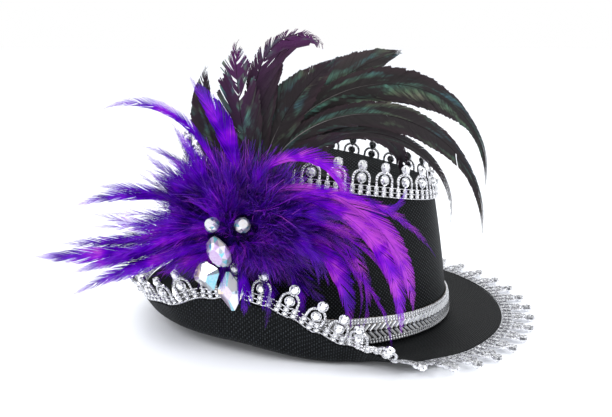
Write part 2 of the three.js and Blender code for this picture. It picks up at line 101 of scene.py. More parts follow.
# Band, trims and cut stones
BAND = {"foot": 4.5, "height": 18.5, "backing": 0.9, "sides": 192, "girth": 0.58}
CHIP_ROWS = (1.05, 3.0)
CHIP_PITCH = 2.15
BAR_PITCH = 3.9
TRIM = {"pitch": 17.2, "columns": 3, "thickness": 2.2, "top": 2.6}
CROWN_TRIM = {"drop": 9.0, "seat": 0.8}
BRIM_TRIM_SEAT = 1.2
ARCH = {"half": 5.75, "foot": 7.0, "knee": 9.0, "spring": 10.8, "rise": 5.6, "bead": 1.08, "bead_at": -0.3}
MOTIF_STONES = ((11.2, 2.1), (19.5, 2.3))
# Ranges of the values that facets and tables of small stones get, which their glass paints as reflections
FACET_REFLECTIONS = (0.05, 1)
TABLE_REFLECTIONS = (0.55, 1)
PAD = {"x": -47.0, "y": -80.0, "z": 83.4, "length": 25.0, "depth": 21.0, "height": 19.6}
ROUND_STONE = {
    "length": 10.4, "width": 10.4, "taper": 0, "sides": 10,
    "girdle": 1.4, "height": 5.0, "table": 0.55, "star": True}
DROP = {
    "length": 26.5, "width": 17.0, "taper": 0.55, "sides": 12,
    "girdle": 1.6, "height": 6.0, "table": 0.5, "star": True}
RHOMB = {"corner": 0.12, "girdle": 1.6, "height": 5.5, "table": 0.34, "star": False}

# Feathers: where each starts from its root, the way that it heads and bends, its size, its tone
# (0 dark, 1 bright; on the purple it lifts the colour into painted highlights, on the black it sets the
# painted sheen) and how far its barbs have opened. heading: 0 to the front, 90 up.
FEATHER_COLUMNS = (
    "x", "y", "z", "heading", "turn", "snap", "length", "width", "lean", "curl",
    "tone", "open", "tail", "bias")
PURPLE_ROOT = (-47, -86, 83)
PURPLE = [
    (-2, -6, 14, 101, 103, 1.8, 112, 7, 6, 0, 0.5, 0.1),
    (4, -6, 12, 88, 40, 1, 90, 13, 4, -6, 0.52, 0.05),
    (-6, -4, 12, 110, 12, 1, 66, 6, 8, 0, 0.5, 0.1),
    (-6, 0, 12, 116, 50, 1.2, 68, 5, 2, 0, 0.4, 0.2),
    (-8, 0, 10, 150, 50, 1.1, 93, 8, 8, -4, 0.5, 0.1),
    (-8, 1, 8, 147, 30, 1, 80, 8, 10, -4, 0.45, 0.1),
    (-8, -2, 10, 140, 10, 1, 51, 9, 6, 0, 0.5, 0.1),
    (-8, -4, 0, 193, -16, 1, 114, 12, 10, -6, 0.5, 0),
    (-8, -2, 2, 187, -6, 1, 100, 9, 6, -6, 0.45, 0.1),
    (-8, -6, 0, 193, 14, 1, 98, 8, 12, -4, 0.4, 0.2),
    (-8, -8, 0, 198, 2, 1, 80, 9, 14, -4, 0.5, 0.1),
    (-8, -4, 2, 192, 4, 1, 95, 8, 10, -4, 0.5, 0),
    (8, -2, 11, 96, -204, 1.1, 110, 10, 4, 2, 0.8, 0.1),
    (8, -4, 16, 66, -150, 0.6, 146, 12, 6, 8, 0.95, 0.05),
    (8, -5, 14, 54, -146, 0.65, 146, 12, 8, 6, 0.85, 0.1),
    (6, -4, 8, 22, -108, 0.65, 104, 12, 6, 2, 0.7, 0.1),
    (8, 2, 12, 0, 96, 7, 106, 8, 6, -4, 0.4, 0.2),
    (2, -12, -8, -78, -12, 1, 40, 10, 12, -6, 0.4, 0.2),
]
STEM = {"x": -34, "y": -72, "z": 110, "length": 9, "depth": 8.3, "height": 10}
BLACK = [
    (0, -2, 2, 152, -78, 1, 84, 18, -2, 0, 0.5, 0.1, 0, 0),
    (0, -3, 2, 107, -20, 1, 88, 28, 2, 0, 0.9, 0.7, 0, 0),
    (1, 0, 3, 95, -150, 3.2, 122, 24, 0, -10, 0.3, 0.7, 0, 0.5),
    (2, 0, 3, 80, -45, 1, 92, 26, -4, -10, 0.4, 0.05, 0, 0),
    (3, 2, 3, 69, -58, 1, 136, 27, -12, -20, 0.6, 0, 0, 0),
    (4, 2, 2, 80, -168, 0.88, 256, 26, -12, -18, 1.0, 0, 0.66, 0.25),
    (4, 0, 0, 83, -170, 0.72, 230, 20, -8, -10, 0.6, 0.02, 0.55, 0.2),
    (4, 1, 1, 54, -146, 1, 194, 8, -12, -12, 0.2, 0.05, 0.3, 0),
    (4, 1, 1, 46, -154, 1.7, 142, 15, -13, -18, 0.2, 0.1, 0, 0),
    (3, 0, -1, 46, -30, 1, 66, 14, -8, 0, 0.3, 0.1, 0, 0),
]
PURPLE_LATE = 1.6
SOFT = {"sweep": 3.4, "curve": 1.2, "width": 0.055, "taper": 0.7, "droop": 0.2, "points": 4}
GLOSSY = {"sweep": 1.8, "curve": 0.7, "width": 0.13, "taper": 0.35, "droop": 0.16, "points": 5}
VANE = [(0, 0.22), (0.22, 0.62), (0.45, 1), (0.68, 0.9), (0.87, 0.5), (1, 0.1)]
PATH_STEPS = 46
KEY_STEP = 3.7

# Barbs: how many make one lock, what each swings and lifts by itself, how much slits favour one side of
# the shaft, and how the shaft thins
BARBS = {"lock": 7.0, "swing": 0.35, "lift": 0.4, "slit": 1.6, "thin": -0.7, "shaft_step": 5.0}

# Small feathers that fill the plume, by group: how many, and the range of each column
FILL_COLUMNS = ("count", "heading", "turn", "length", "width", "lean", "tone")
FILL = [
    (26, (100, 195), (-25, 45), (40, 74), (8, 12), (0, 20), (0.1, 0.55)),
    (10, (168, 190), (-16, 22), (66, 96), (8, 11), (2, 14), (0.3, 0.6)),
    (14, (60, 122), (-40, 60), (40, 66), (8, 12), (0, 20), (0.3, 0.65)),
    (26, (-30, 60), (-110, -40), (40, 82), (9, 14), (8, 30), (0.0, 0.5)),
    (12, (15, 52), (-135, -100), (108, 146), (4, 7), (6, 14), (0.6, 1.0)),
    (6, (-95, -50), (-20, 20), (26, 40), (8, 12), (14, 40), (0.15, 0.5)),
    (12, (112, 140), (-14, 20), (48, 70), (8, 12), (0, 10), (0.3, 0.6)),
    (12, (203, 217), (-10, 10), (40, 58), (9, 13), (-4, 6), (0.45, 0.8)),
]
FILL_START = {"x": (-10, 10), "y": (-6, 4), "z": (-8, 10), "snap": (0.8, 1.4), "curl": (-6, 4)}
FILL_OPEN = 0.25

# Down of the plume: its length low on the pad, over what height it grows full, and left of where it is
# full anyway. BARE holds the places on the front that it leaves free: x, z, radius.
DOWN = {"low": 0.5, "over": 16, "left": -67, "left_over": 4, "bare_over": 5}
BARE = [(-59.5, 91, 5), (-41.5, 91.5, 5), (-56, 80, 7), (-56, 69, 10), (-67, 60, 18), (-50, 56, 15)]
SPRIG = {"hairs": 20, "points": 4, "half": 0.008, "taper": 0.75}


# Shapes of the hat

def lerp(first, last, share):
    return first + (last - first) * share


def smooth(share):
    t = min(1.0, max(0.0, share))
    return t * t * (3 - 2 * t)


def table_at(rows, place, ease=0.0):
    """Row of a table at any place in its first column. ease: 0 runs straight between rows, 1 smoothly."""
    for low, high in zip(rows, rows[1:]):
        if place <= high[0]:
            straight = (place - low[0]) / (high[0] - low[0])
            share = lerp(straight, smooth(straight), ease)
            return [lerp(first, last, share) for first, last in zip(low, high)]
    return rows[-1]


def turns(sides):
    """Even steps round the hat."""
    return [i / sides * TAU for i in range(sides)]


def pairs(count):
    """Each number below count with the next one round a ring."""
    return [(i, (i + 1) % count) for i in range(count)]


def star_facets(girdle, star, flat, i, j):
    """Facets of one side of a cut stone, from its girdle to its table."""
    return ((girdle[i], girdle[j], star[i]), (girdle[j], star[j], star[i]),
            (star[i], star[j], flat[j]), (flat[i], star[i], flat[j]))


def oval(angle, length, width, power=2.0):
    reach = abs(math.cos(angle) / length) ** power + abs(math.sin(angle) / width) ** power
    radius = reach ** (-1 / power)
    return radius * math.cos(angle), radius * math.sin(angle)


def foot_height(x, y):
    starts = KICK["starts"] + KICK["skew"] * y / FOOT["width"]
    return KICK["height"] * smooth((-x - starts) / KICK["over"])


def rim_height(x):
    along = x / RIM["length"]
    return RIM_HEIGHT["middle"] - RIM_HEIGHT["fall"] * along - RIM_HEIGHT["arch"] * along ** 2


def wall_point(angle, rise, out=0.0):
    bow = rise ** WALL_BOW
    length = lerp(FOOT["length"], RIM["length"], bow) + out
    width = lerp(FOOT["width"], RIM["width"] - RIM["pinch"] * math.cos(angle), bow) + out
    x, y = oval(angle, length, width, 2 + RIM["squareness"] * rise)
    foot = foot_height(x, y)
    return Vector((x, y, foot + rise * (rim_height(x) - foot)))


def top_point(angle, inset, sink):
    width = RIM["width"] - RIM["pinch"] * math.cos(angle) - inset
    x, y = oval(angle, RIM["length"] - inset, width, 2 + RIM["squareness"])
    return Vector((x, y, rim_height(x) - sink))


def brim_section(angle, steps=BRIM_STEPS):
    """Reach, height and slope at even steps along the straw of the brim."""
    row = dict(zip(BRIM_COLUMNS, table_at(BRIM, math.degrees(angle) % 360, 1.0)))
    step = row["width"] / steps
    turn = math.radians(row["turn"])
    slopes = [turn * smooth((i * step - row["flat"]) / row["roll"]) for i in range(steps + 1)]
    section = [(0.0, WALL / 2, 0.0)]
    for i in range(1, steps + 1):
        tilt = (slopes[i] + slopes[i - 1]) / 2
        reach, height, _ = section[-1]
        section.append((reach + math.cos(tilt) * step, height + math.sin(tilt) * step, slopes[i]))
    return section


def brim_frame(angle, section, index):
    """Point on the brim, the way on along its straw and the way out of its underside."""
    x, y = oval(angle, FOOT["length"] + GAP, FOOT["width"] + GAP)
    away = Vector((x / FOOT["length"] ** 2, y / FOOT["width"] ** 2)).normalized()
    reach, height, slope = section[index]
    point = Vector((x + away.x * reach, y + away.y * reach, height + foot_height(x, y)))
    up = Vector((away.x * math.cos(slope), away.y * math.cos(slope), math.sin(slope)))
    out = Vector((away.x * math.sin(slope), away.y * math.sin(slope), -math.cos(slope)))
    return point, up, out


def brim_edge(angle):
    point, up, _ = brim_frame(angle, brim_section(angle), BRIM_STEPS)
    return point + up * BRIM_TRIM_SEAT, up


def crown_edge(angle):
    rim = wall_point(angle, 1)
    up = (rim - wall_point(angle, 1 - RIM_STEP)).normalized()
    along = wall_point(angle + 2 * TURN_STEP, 1) - wall_point(angle - 2 * TURN_STEP, 1)
    out = along.cross(up).normalized()
    return rim - up * CROWN_TRIM["drop"] + out * (CROWN_TRIM["seat"] + TRIM["thickness"] / 2), up


def band_edge(height, out):
    """Line round the band at one height above its foot."""
    rise = (BAND["foot"] + height) / RIM_HEIGHT["middle"]

    def edge(angle):
        point = wall_point(angle, rise, GAP + out)
        return point, (wall_point(angle, rise + RISE_STEP, GAP + out) - point).normalized()
    return edge


def squared(edge, angle):
    """Frame on an edge, squared to the way that the edge runs."""
    along = (edge(angle + TURN_STEP)[0] - edge(angle - TURN_STEP)[0]).normalized()
    point, up = edge(angle)
    up = (up - along * up.dot(along)).normalized()
    return point, up, along.cross(up)


def ruler_along(edge, steps=720):
    """Length of a closed edge, and the frame at any run along it."""
    angles = [*turns(steps), TAU]
    points = [edge(angle)[0] for angle in angles]
    run = [0.0]
    for first, last in zip(points, points[1:]):
        run.append(run[-1] + (last - first).length)

    def frame_at(distance):
        want = distance % run[-1]
        low = 0
        high = steps
        while high - low > 1:
            middle = (low + high) // 2
            low, high = (middle, high) if run[middle] <= want else (low, middle)
        share = (want - run[low]) / (run[high] - run[low])
        return squared(edge, lerp(angles[low], angles[high], share))
    return run[-1], frame_at


def feather_line(root, row):
    """Points along a feather's shaft."""
    point = Vector(root) + Vector((row["x"], row["y"], row["z"]))
    step = row["length"] / PATH_STEPS
    line = []
    for i in range(PATH_STEPS + 1):
        along = (i + 0.5) / PATH_STEPS
        heading = math.radians(row["heading"] + row["turn"] * along ** row["snap"])
        lean = math.radians(row["lean"] + row["curl"] * along)
        flat = math.cos(lean)
        line.append(point.copy())
        point = point + Vector((math.cos(heading) * flat, -math.sin(lean), math.sin(heading) * flat)) * step
    return line


# Nodes

class Wires:
    """Adds nodes to a tree and links them."""

    def __init__(self, tree):
        self.tree = tree

    def feed(self, socket, value):
        if isinstance(value, bpy.types.NodeSocket):
            self.tree.links.new(value, socket)
        else:
            socket.default_value = value

    def add(self, kind, inputs=(), **settings):
        node = self.tree.nodes.new(kind)
        for key, value in settings.items():
            setattr(node, key, value)
        for key, value in dict(inputs).items():
            self.feed(node.inputs[key], value)
        return node

    def out(self, kind, inputs=(), **settings):
        """First output of a new node."""
        return self.add(kind, inputs, **settings).outputs[0]

    def maths(self, operation, *values):
        node = self.add("ShaderNodeMath", operation=operation)
        for socket, value in zip(node.inputs, values):
            self.feed(socket, value)
        return node.outputs[0]

    def times(self, first, *rest):
        return self.maths("MULTIPLY", first, self.times(*rest)) if rest else first

    def plus(self, first, second):
        return self.maths("ADD", first, second)

    def scaled(self, value, factor, offset):
        return self.maths("MULTIPLY_ADD", value, factor, offset)

    def mix(self, share, first, second, blend="MIX"):
        node = self.add("ShaderNodeMix", data_type="RGBA", blend_type=blend)
        for index, value in ((0, share), (6, first), (7, second)):
            self.feed(node.inputs[index], value)
        return node.outputs[2]

    def ramp(self, value, stops):
        node = self.add("ShaderNodeValToRGB", {"Fac": value})
        elements = node.color_ramp.elements
        while len(elements) < len(stops):
            elements.new(1.0)
        for element, (place, colour) in zip(elements, stops):
            element.position = place
            element.color = (*colour, 1.0)
        return node.outputs["Color"]

    def grade(self, value, start, end, low=0.0, high=1.0):
        """Grey that runs from low to high while the value runs from start to end."""
        return self.ramp(value, [(start, (low,) * 3), (end, (high,) * 3)])

    def noise(self, scale, detail=2.0, vector=None):
        node = self.add("ShaderNodeTexNoise", {"Scale": scale, "Detail": detail})
        self.feed(node.inputs["Vector"], vector or self.add("ShaderNodeTexCoord").outputs["Object"])
        return node.outputs["Fac"]

    def strands(self, fine, broad, detail=2.0):
        """Noise drawn out along the barbs: key counts them, across runs out along each."""
        place = self.out("ShaderNodeCombineXYZ", {
            "X": self.times(self.attribute("key"), fine), "Y": self.times(self.attribute("across"), broad)})
        return self.noise(1.0, detail, place)

    def attribute(self, name):
        return self.add("ShaderNodeAttribute", attribute_name=name).outputs["Fac"]

    def bump(self, strength, distance, height):
        return self.out("ShaderNodeBump", {"Strength": strength, "Distance": distance, "Height": height})

    def paint(self, **inputs):
        """Feeds the material's shader. base_color stands for its socket Base Color."""
        sockets = self.tree.nodes["Principled BSDF"].inputs
        for key, value in inputs.items():
            self.feed(sockets[key.replace("_", " ").title().replace("Ior", "IOR")], value)


def new_finish(name, **constants):
    """Material with its plain values set on the shader's own sockets."""
    material = bpy.data.materials.new(name)
    material.use_nodes = True
    wires = Wires(material.node_tree)
    wires.paint(**constants)
    return material, wires


def make_straw(name, strand, row, cross, ridge, tops_highlight):
    """Woven paper straw: strands across and along the weave map, with painted highlights on their crests and
    painted shade in the hollows. The last argument: how pale the painted highlights are.
    """
    material, wires = new_finish(name, specular_ior_level=0.08)
    weave = wires.out("ShaderNodeUVMap", uv_map="weave")
    place = wires.add("ShaderNodeSeparateXYZ", {"Vector": weave}).outputs
    across = wires.maths("SINE", wires.times(place[0], math.pi / (strand * MM)))
    along = wires.maths("SINE", wires.times(place[1], math.pi / (row * MM)))
    checks = wires.scaled(wires.times(across, along), 0.5, 0.5)
    crossing = wires.times(wires.maths("ABSOLUTE", across), cross)
    lines = wires.scaled(wires.maths("ABSOLUTE", along), ridge, crossing)
    height = wires.scaled(checks, 1 - ridge - cross, lines)
    fibre = wires.noise(900.0, 3.0)
    bloom = wires.noise(28.0, 3.0)
    # Painted highlight and shade: the weave is paler where it stands up and darker in its hollows
    lit = wires.times(height, wires.scaled(fibre, 0.9, 0.45))
    shade = wires.ramp(lit, [
        (0.25, (0.0009, 0.0011, 0.0013)), (0.6, (0.0032, 0.0039, 0.0045)),
        (0.95, (tops_highlight * 0.87, tops_highlight, tops_highlight * 1.1))])
    wires.paint(base_color=wires.mix(wires.times(bloom, 0.3), shade, (0.006, 0.0068, 0.0076, 1)),
                roughness=wires.scaled(fibre, 0.25, 0.42),
                normal=wires.bump(0.7, 0.0005, height))
    return material


def make_silver(name, dark, bright):
    """Polished metal. On the backs of the settings, whose facet value is below zero, it is rougher and
    carries painted shade and glints in dark and bright spots.
    """
    material, wires = new_finish(name, metallic=1.0)
    patina = wires.noise(260.0, 4.0)
    polish = wires.ramp(patina, [(0.3, dark), (0.62, bright)])
    back = wires.maths("LESS_THAN", wires.attribute("facet"), -0.5)
    # Painted shade and glints: dark and bright spots on the backs of the settings
    back_shade_and_glints = wires.ramp(wires.noise(850.0, 1.0), [(0.42, (0.1, 0.1, 0.11)), (0.58, (0.85, 0.86, 0.88))])
    wires.paint(base_color=wires.mix(back, polish, back_shade_and_glints),
                roughness=wires.scaled(back, 0.16, wires.scaled(patina, 0.2, 0.12)),
                normal=wires.bump(0.15, 0.0002, wires.noise(1500.0)))
    return material


def make_cut_glass(name, stops):
    """Foiled glass under a clear coat: each facet is painted with a reflection, a tint that its facet value
    picks.
    """
    material, wires = new_finish(name, metallic=0.55, roughness=0.05, coat_weight=1.0, coat_roughness=0.02)
    # Painted reflections: the facet value picks a tint from dark to white, or a coloured one
    shade = wires.maths("SUBTRACT", wires.attribute("facet"), 0.06)
    wires.paint(base_color=wires.ramp(wires.scaled(wires.noise(700.0, 1.0), 0.12, shade), stops))
    return material


def make_purple(name):
    """Dyed feather: dark at the root, with painted shade in broad patches, painted highlights in streaks
    along the barbs, and pale thin tips painted in for light that shines through them.
    """
    material, wires = new_finish(
        name, roughness=0.55, sheen_weight=0.03, sheen_roughness=0.4, sheen_tint=(0.5, 0.05, 1.0, 1.0),
        specular_ior_level=0.03)
    along = wires.attribute("along")
    strand = wires.strands(150.0, 0.8)
    # Painted shade: broad noise darkens the feathers in patches, as if deep among the locks
    painted_depth_shade = wires.scaled(wires.noise(75.0), 1.5, wires.maths("SUBTRACT", wires.attribute("tone"), 1.25))
    # Ramp from near black painted shade, through violet, to pink painted highlights
    dye_and_light = wires.ramp(wires.plus(strand, painted_depth_shade), [
        (0.0, (0.005, 0.0001, 0.035)), (0.3, (0.048, 0.0002, 0.31)), (0.55, (0.115, 0.0005, 0.56)),
        (0.8, (0.27, 0.006, 0.66)), (1.0, (0.52, 0.07, 0.68))])
    # Painted light: the thin tips are pale, as if light shone through them
    pale = wires.times(wires.grade(along, 0.6, 1.0, 0.0, 0.55), strand)
    tips = wires.mix(pale, dye_and_light, (0.3, 0.12, 0.66, 1))
    root = wires.ramp(along, [(0.0, (0.35, 0.3, 0.5)), (0.35, (1, 1, 1))])
    wires.paint(base_color=wires.mix(1.0, tips, root, "MULTIPLY"))
    return material


def make_black(name):
    """Cock tail feather: brown black, purple where it is loose, with painted sheen in streaky patches of
    green, bronze and blue.
    """
    material, wires = new_finish(name, specular_ior_level=0.3)
    strand = wires.strands(170.0, 1.2, 3.0)
    # Painted sheen: highlights of green, bronze and blue in streaks along the barbs, in patches
    sheen_patch = wires.grade(wires.strands(6.5, 1.7), 0.5, 0.7)
    sheen_hue = wires.ramp(wires.strands(4.0, 0.8, 1.0), [
        (0.32, (0.08, 0.23, 0.3)), (0.46, (0.12, 0.33, 0.25)),
        (0.58, (0.18, 0.29, 0.16)), (0.7, (0.2, 0.17, 0.12))])
    painted_sheen = wires.times(wires.attribute("tone"), sheen_patch, wires.grade(strand, 0.35, 0.7, 0.12))
    body = wires.mix(strand, (0.004, 0.0037, 0.0036, 1), (0.026, 0.0228, 0.0225, 1))
    reach = wires.maths("ABSOLUTE", wires.attribute("across"))
    edged = wires.mix(wires.times(wires.grade(reach, 0.55, 1.0), 0.5), body, (0.035, 0.017, 0.024, 1))
    far = wires.maths("POWER", wires.attribute("along"), 2.0)
    loose = wires.times(1.5, wires.attribute("open"), far)
    frayed = wires.mix(loose, edged, (0.085, 0.013, 0.095, 1))
    wires.paint(base_color=wires.mix(painted_sheen, frayed, sheen_hue),
                specular_tint=wires.mix(painted_sheen, (0.75, 0.66, 0.68, 1), (0.4, 0.95, 0.85, 1)),
                roughness=wires.scaled(strand, 0.3, 0.28))
    return material


def make_quill(name, root, tip):
    material, wires = new_finish(name, roughness=0.6, specular_ior_level=0.15)
    shade = wires.mix(wires.grade(wires.attribute("along"), 0.12, 0.45), root, tip)
    grain = wires.grade(wires.noise(300.0), 0.3, 0.7, 0.6)
    wires.paint(base_color=wires.mix(1.0, shade, grain, "MULTIPLY"))
    return material


# Meshes

def new_piece(name, data):
    piece = bpy.data.objects.new(name, data)
    bpy.context.scene.collection.objects.link(piece)
    return piece


def plain_mesh(name, points, edges=(), faces=(), **columns):
    """Mesh in metres whose points carry named values or vectors."""
    mesh = bpy.data.meshes.new(name)
    mesh.from_pydata(points, list(edges), list(faces))
    for key, values in columns.items():
        vectors = isinstance(values[0], Vector)
        layer = mesh.attributes.new(key, "FLOAT_VECTOR" if vectors else "FLOAT", "POINT")
        if vectors:
            layer.data.foreach_set("vector", [part for value in values for part in value])
        else:
            layer.data.foreach_set("value", values)
    return mesh


def mesh_of(shape, name):
    mesh = bpy.data.meshes.new(name)
    shape.to_mesh(mesh)
    shape.free()
    return mesh


def loft(name, rings, maps, finishes=None, loop=False, pole=None):
    """Skin over closed rings of points. maps gives each strip's weave map as a function of the ring, the
    place round the hat (0 to 1) and the point; finishes gives each strip's material slot, 0 by default."""
    count = len(rings[0])
    finishes = finishes or [0] * len(rings)
    points = [point * MM for ring in rings for point in ring]
    faces = []
    weave = []
    slots = []
    strips = len(rings) if loop else len(rings) - 1
    for row in range(strips):
        above = (row + 1) % len(rings)
        for i, j in pairs(count):
            faces.append((row * count + i, row * count + j, above * count + j, above * count + i))
            for ring, at in ((row, i), (row, i + 1), (above, i + 1), (above, i)):
                weave.extend(maps[row](ring, at / count, rings[ring][at % count]))
            slots.append(finishes[row])
    if pole is not None:
        points.append(pole * MM)
        last = len(rings) - 1
        for i, j in pairs(count):
            faces.append((last * count + i, last * count + j, len(points) - 1))
            for at in (i, i + 1):
                weave.extend(maps[strips - 1](last, at / count, rings[last][at % count]))
            weave.extend((pole.x * MM, pole.y * MM))
            slots.append(finishes[-1])
    mesh = plain_mesh(name, points, faces=faces)
    mesh.uv_layers.new(name="weave").data.foreach_set("uv", weave)
    mesh.polygons.foreach_set("material_index", slots)
    mesh.shade_smooth()
    mesh.validate()
    return mesh


def outward(mesh):
    """Turns the faces of a closed mesh out."""
    shape = bmesh.new()
    shape.from_mesh(mesh)
    bmesh.ops.recalc_face_normals(shape, faces=shape.faces)
    shape.to_mesh(mesh)
    shape.free()
    return mesh


def grow(name, mesh, tree, inputs):
    """Runs a node tree on a mesh and keeps the result as a plain mesh."""
    piece = new_piece(name, mesh)
    modifier = piece.modifiers.new("grow", "NODES")
    modifier.node_group = tree
    for item in tree.interface.items_tree:
        if item.in_out == "INPUT" and item.name in inputs:
            modifier[item.identifier] = inputs[item.name]
    bpy.context.view_layer.update()
    graph = bpy.context.evaluated_depsgraph_get()
    made = bpy.data.meshes.new_from_object(
        piece.evaluated_get(graph), preserve_all_data_layers=True, depsgraph=graph)
    piece.modifiers.clear()
    piece.data = made
    made.name = name
    return piece


class Unit:
    """Small mesh in millimetres, X along, Y up, Z out. Facets of stones carry a value for their painted
    reflection, metal carries 0.
    """

    def __init__(self, seed):
        self.shape = bmesh.new()
        self.facet = self.shape.faces.layers.float.new("facet")
        self.chance = random.Random(seed)

    def face(self, verts, low=0.0, high=0.0):
        face = self.shape.faces.new(verts)
        face[self.facet] = self.chance.uniform(low, high)

    def ring(self, x, y, z, radius, sides, twist=0.0):
        angles = [(i + twist) * TAU / sides for i in range(sides)]
        spots = [(x + radius * math.cos(angle), y + radius * math.sin(angle), z) for angle in angles]
        return [self.shape.verts.new(spot) for spot in spots]

    def gem(self, x, y, z, radius, height, sides, table=0.52):
        """Round brilliant: two rows of facets and a table."""
        girdle = self.ring(x, y, z, radius, sides)
        star = self.ring(x, y, z + height * 0.6, radius * 0.82, sides, 0.5)
        flat = self.ring(x, y, z + height, radius * table, sides)
        for i, j in pairs(sides):
            for facet in star_facets(girdle, star, flat, i, j):
                self.face(facet, *FACET_REFLECTIONS)
        self.face(flat, *TABLE_REFLECTIONS)

    def cup(self, x, y, back, front, radius, lip, sides):
        """Collet that holds a stone: a back, a wall and a lip."""
        low = self.ring(x, y, back, radius * 0.86, sides)
        high = self.ring(x, y, front, radius, sides)
        inner = self.ring(x, y, front - 0.1, radius - lip, sides)
        self.face(low[::-1])
        for i, j in pairs(sides):
            self.face((low[i], low[j], high[j], high[i]))
            self.face((high[i], high[j], inner[j], inner[i]))

    def bead(self, x, y, z, radius):
        made = bmesh.ops.create_icosphere(
            self.shape, subdivisions=1, radius=radius, matrix=Matrix.Translation((x, y, z)))
        for face in {face for vert in made["verts"] for face in vert.link_faces}:
            face.smooth = True

    def bar(self, x, y, z, length, width, depth):
        place = Matrix.Translation((x, y, z)) @ Matrix.Diagonal((length, width, depth, 1))
        bmesh.ops.create_cube(self.shape, size=1, matrix=place)

    def bevelled(self, x, y, z, length, width, height, turn, inset):
        """Bar-shaped stone with bevelled sides."""
        def corners(cut, rise):
            place = Matrix.Translation((x, y, z + rise)) @ Matrix.Rotation(turn, 4, "Z")
            half = length / 2 - cut
            deep = width / 2 - cut
            return [self.shape.verts.new(place @ Vector((a * half, b * deep, 0))) for a, b in SQUARE]
        low = corners(0, 0)
        high = corners(inset, height)
        # The faces get random values that the glass paints as reflections
        for i, j in pairs(len(SQUARE)):
            self.face((low[i], low[j], high[j], high[i]), 0.05, 0.9)
        self.face(high, 0.4, 1)

    def strip(self, path, width, back, front):
        """Flat wire that follows a path in the plane of the unit."""
        rows = []
        for i, (x, y) in enumerate(path):
            before = path[max(0, i - 1)]
            after = path[min(len(path) - 1, i + 1)]
            way = Vector((after[0] - before[0], after[1] - before[1])).normalized() * width / 2
            spots = ((-1, back), (1, back), (1, front), (-1, front))
            rows.append([self.shape.verts.new((x + way.y * a, y - way.x * a, z)) for a, z in spots])
        for first, last in zip(rows, rows[1:]):
            for i, j in pairs(len(spots)):
                self.face((first[i], first[j], last[j], last[i]))
        self.face(rows[0][::-1])
        self.face(rows[-1])

    def finish(self, name):
        """Ends the unit as an object. Metal that faces back gets -1 in place of 0, which its material marks
        with painted shade and glints.
        """
        self.shape.normal_update()
        for face in self.shape.faces:
            if face[self.facet] == 0 and face.normal.z < -0.4:
                face[self.facet] = -1.0
        return new_piece(name, mesh_of(self.shape, name))


# Node trees that repeat a unit

class Growth(Wires):
    """Node tree that stands units on the points or faces that it is given."""

    def __init__(self, name, inputs):
        super().__init__(bpy.data.node_groups.new(name, "GeometryNodeTree"))
        add_socket = self.tree.interface.new_socket
        for label, kind in (("Geometry", "Geometry"), *inputs):
            add_socket(label, in_out="INPUT", socket_type="NodeSocket" + kind)
        add_socket("Geometry", in_out="OUTPUT", socket_type="NodeSocketGeometry")
        self.given = self.add("NodeGroupInput").outputs

    def named(self, name, kind="FLOAT"):
        node = self.add("GeometryNodeInputNamedAttribute", {"Name": name}, data_type=kind)
        return node.outputs["Attribute"]

    def chance(self, low, high, seed, key=None):
        """Random value, or vector where low is one. key: what points that share a value have in common."""
        kind, form = ("FLOAT_VECTOR", "VECTOR") if isinstance(low, tuple) else ("FLOAT", "VALUE")
        node = self.add("FunctionNodeRandomValue", {"Seed": seed}, data_type=kind)
        for socket in node.inputs:
            if socket.type == form and socket.name in ("Min", "Max"):
                self.feed(socket, low if socket.name == "Min" else high)
        if key is not None:
            self.feed(node.inputs["ID"], key)
        return next(socket for socket in node.outputs if socket.type == form)

    def facing(self, up, out):
        """Rotation that turns Y one way and Z as near as it can to the other."""
        return self.out("FunctionNodeAxesToRotation", {"Primary Axis": up, "Secondary Axis": out},
                        primary_axis="Y", secondary_axis="Z")

    def turned(self, rotation, angles):
        """Rotation that is turned on by angles about its own axes."""
        local = self.out("FunctionNodeEulerToRotation", {"Euler": angles})
        return self.out("FunctionNodeRotateRotation", {"Rotation": rotation, "Rotate By": local},
                        rotation_space="LOCAL")

    def resampled(self, curves, spacing):
        return self.out("GeometryNodeResampleCurve", {"Curve": curves, "Length": spacing}, mode="LENGTH")

    def planted(self, points, chosen, unit, rotation, size):
        """Stands a unit on each chosen point."""
        shape = self.add("GeometryNodeObjectInfo", {"Object": unit}).outputs["Geometry"]
        return self.out("GeometryNodeInstanceOnPoints", {
            "Points": points, "Selection": chosen, "Instance": shape, "Rotation": rotation, "Scale": size})

    def stored(self, shape, name, value, domain):
        node = self.add("GeometryNodeStoreNamedAttribute", {"Geometry": shape, "Name": name},
                        data_type="FLOAT", domain=domain)
        sockets = [socket for socket in node.inputs if socket.name == "Value" and socket.type == "VALUE"]
        self.feed(sockets[0], value)
        return node.outputs[0]

    def finish(self, parts, first, second=None, marker=None):
        """Joins the parts, makes them real and sets their materials, the second where marker is set."""
        join = self.add("GeometryNodeJoinGeometry")
        for part in reversed(parts):
            self.feed(join.inputs[0], part)
        shape = self.out("GeometryNodeRealizeInstances", {"Geometry": join.outputs[0]})
        shape = self.out("GeometryNodeSetMaterial", {"Geometry": shape, "Material": first})
        if second:
            marked = self.maths("GREATER_THAN", self.named(marker), 0.001)
            shape = self.out("GeometryNodeSetMaterial", {
                "Geometry": shape, "Material": second, "Selection": marked})
        self.feed(self.add("NodeGroupOutput").inputs[0], shape)
        return self.tree


def settings_tree(name, metal, glass):
    """Sets one of two units on each station, by the station's kind."""
    tree = Growth(name, (("First Unit", "Object"), ("Second Unit", "Object"), ("Unit Size", "Float")))
    given = tree.given
    turn = tree.facing(tree.named("up", "FLOAT_VECTOR"), tree.named("out", "FLOAT_VECTOR"))
    parts = []
    for label, test in (("First Unit", "LESS_THAN"), ("Second Unit", "GREATER_THAN")):
        chosen = tree.maths(test, tree.named("kind"), 0.5)
        parts.append(tree.planted(given["Geometry"], chosen, given[label], turn, given["Unit Size"]))
    return tree.finish(parts, metal, glass, "facet")


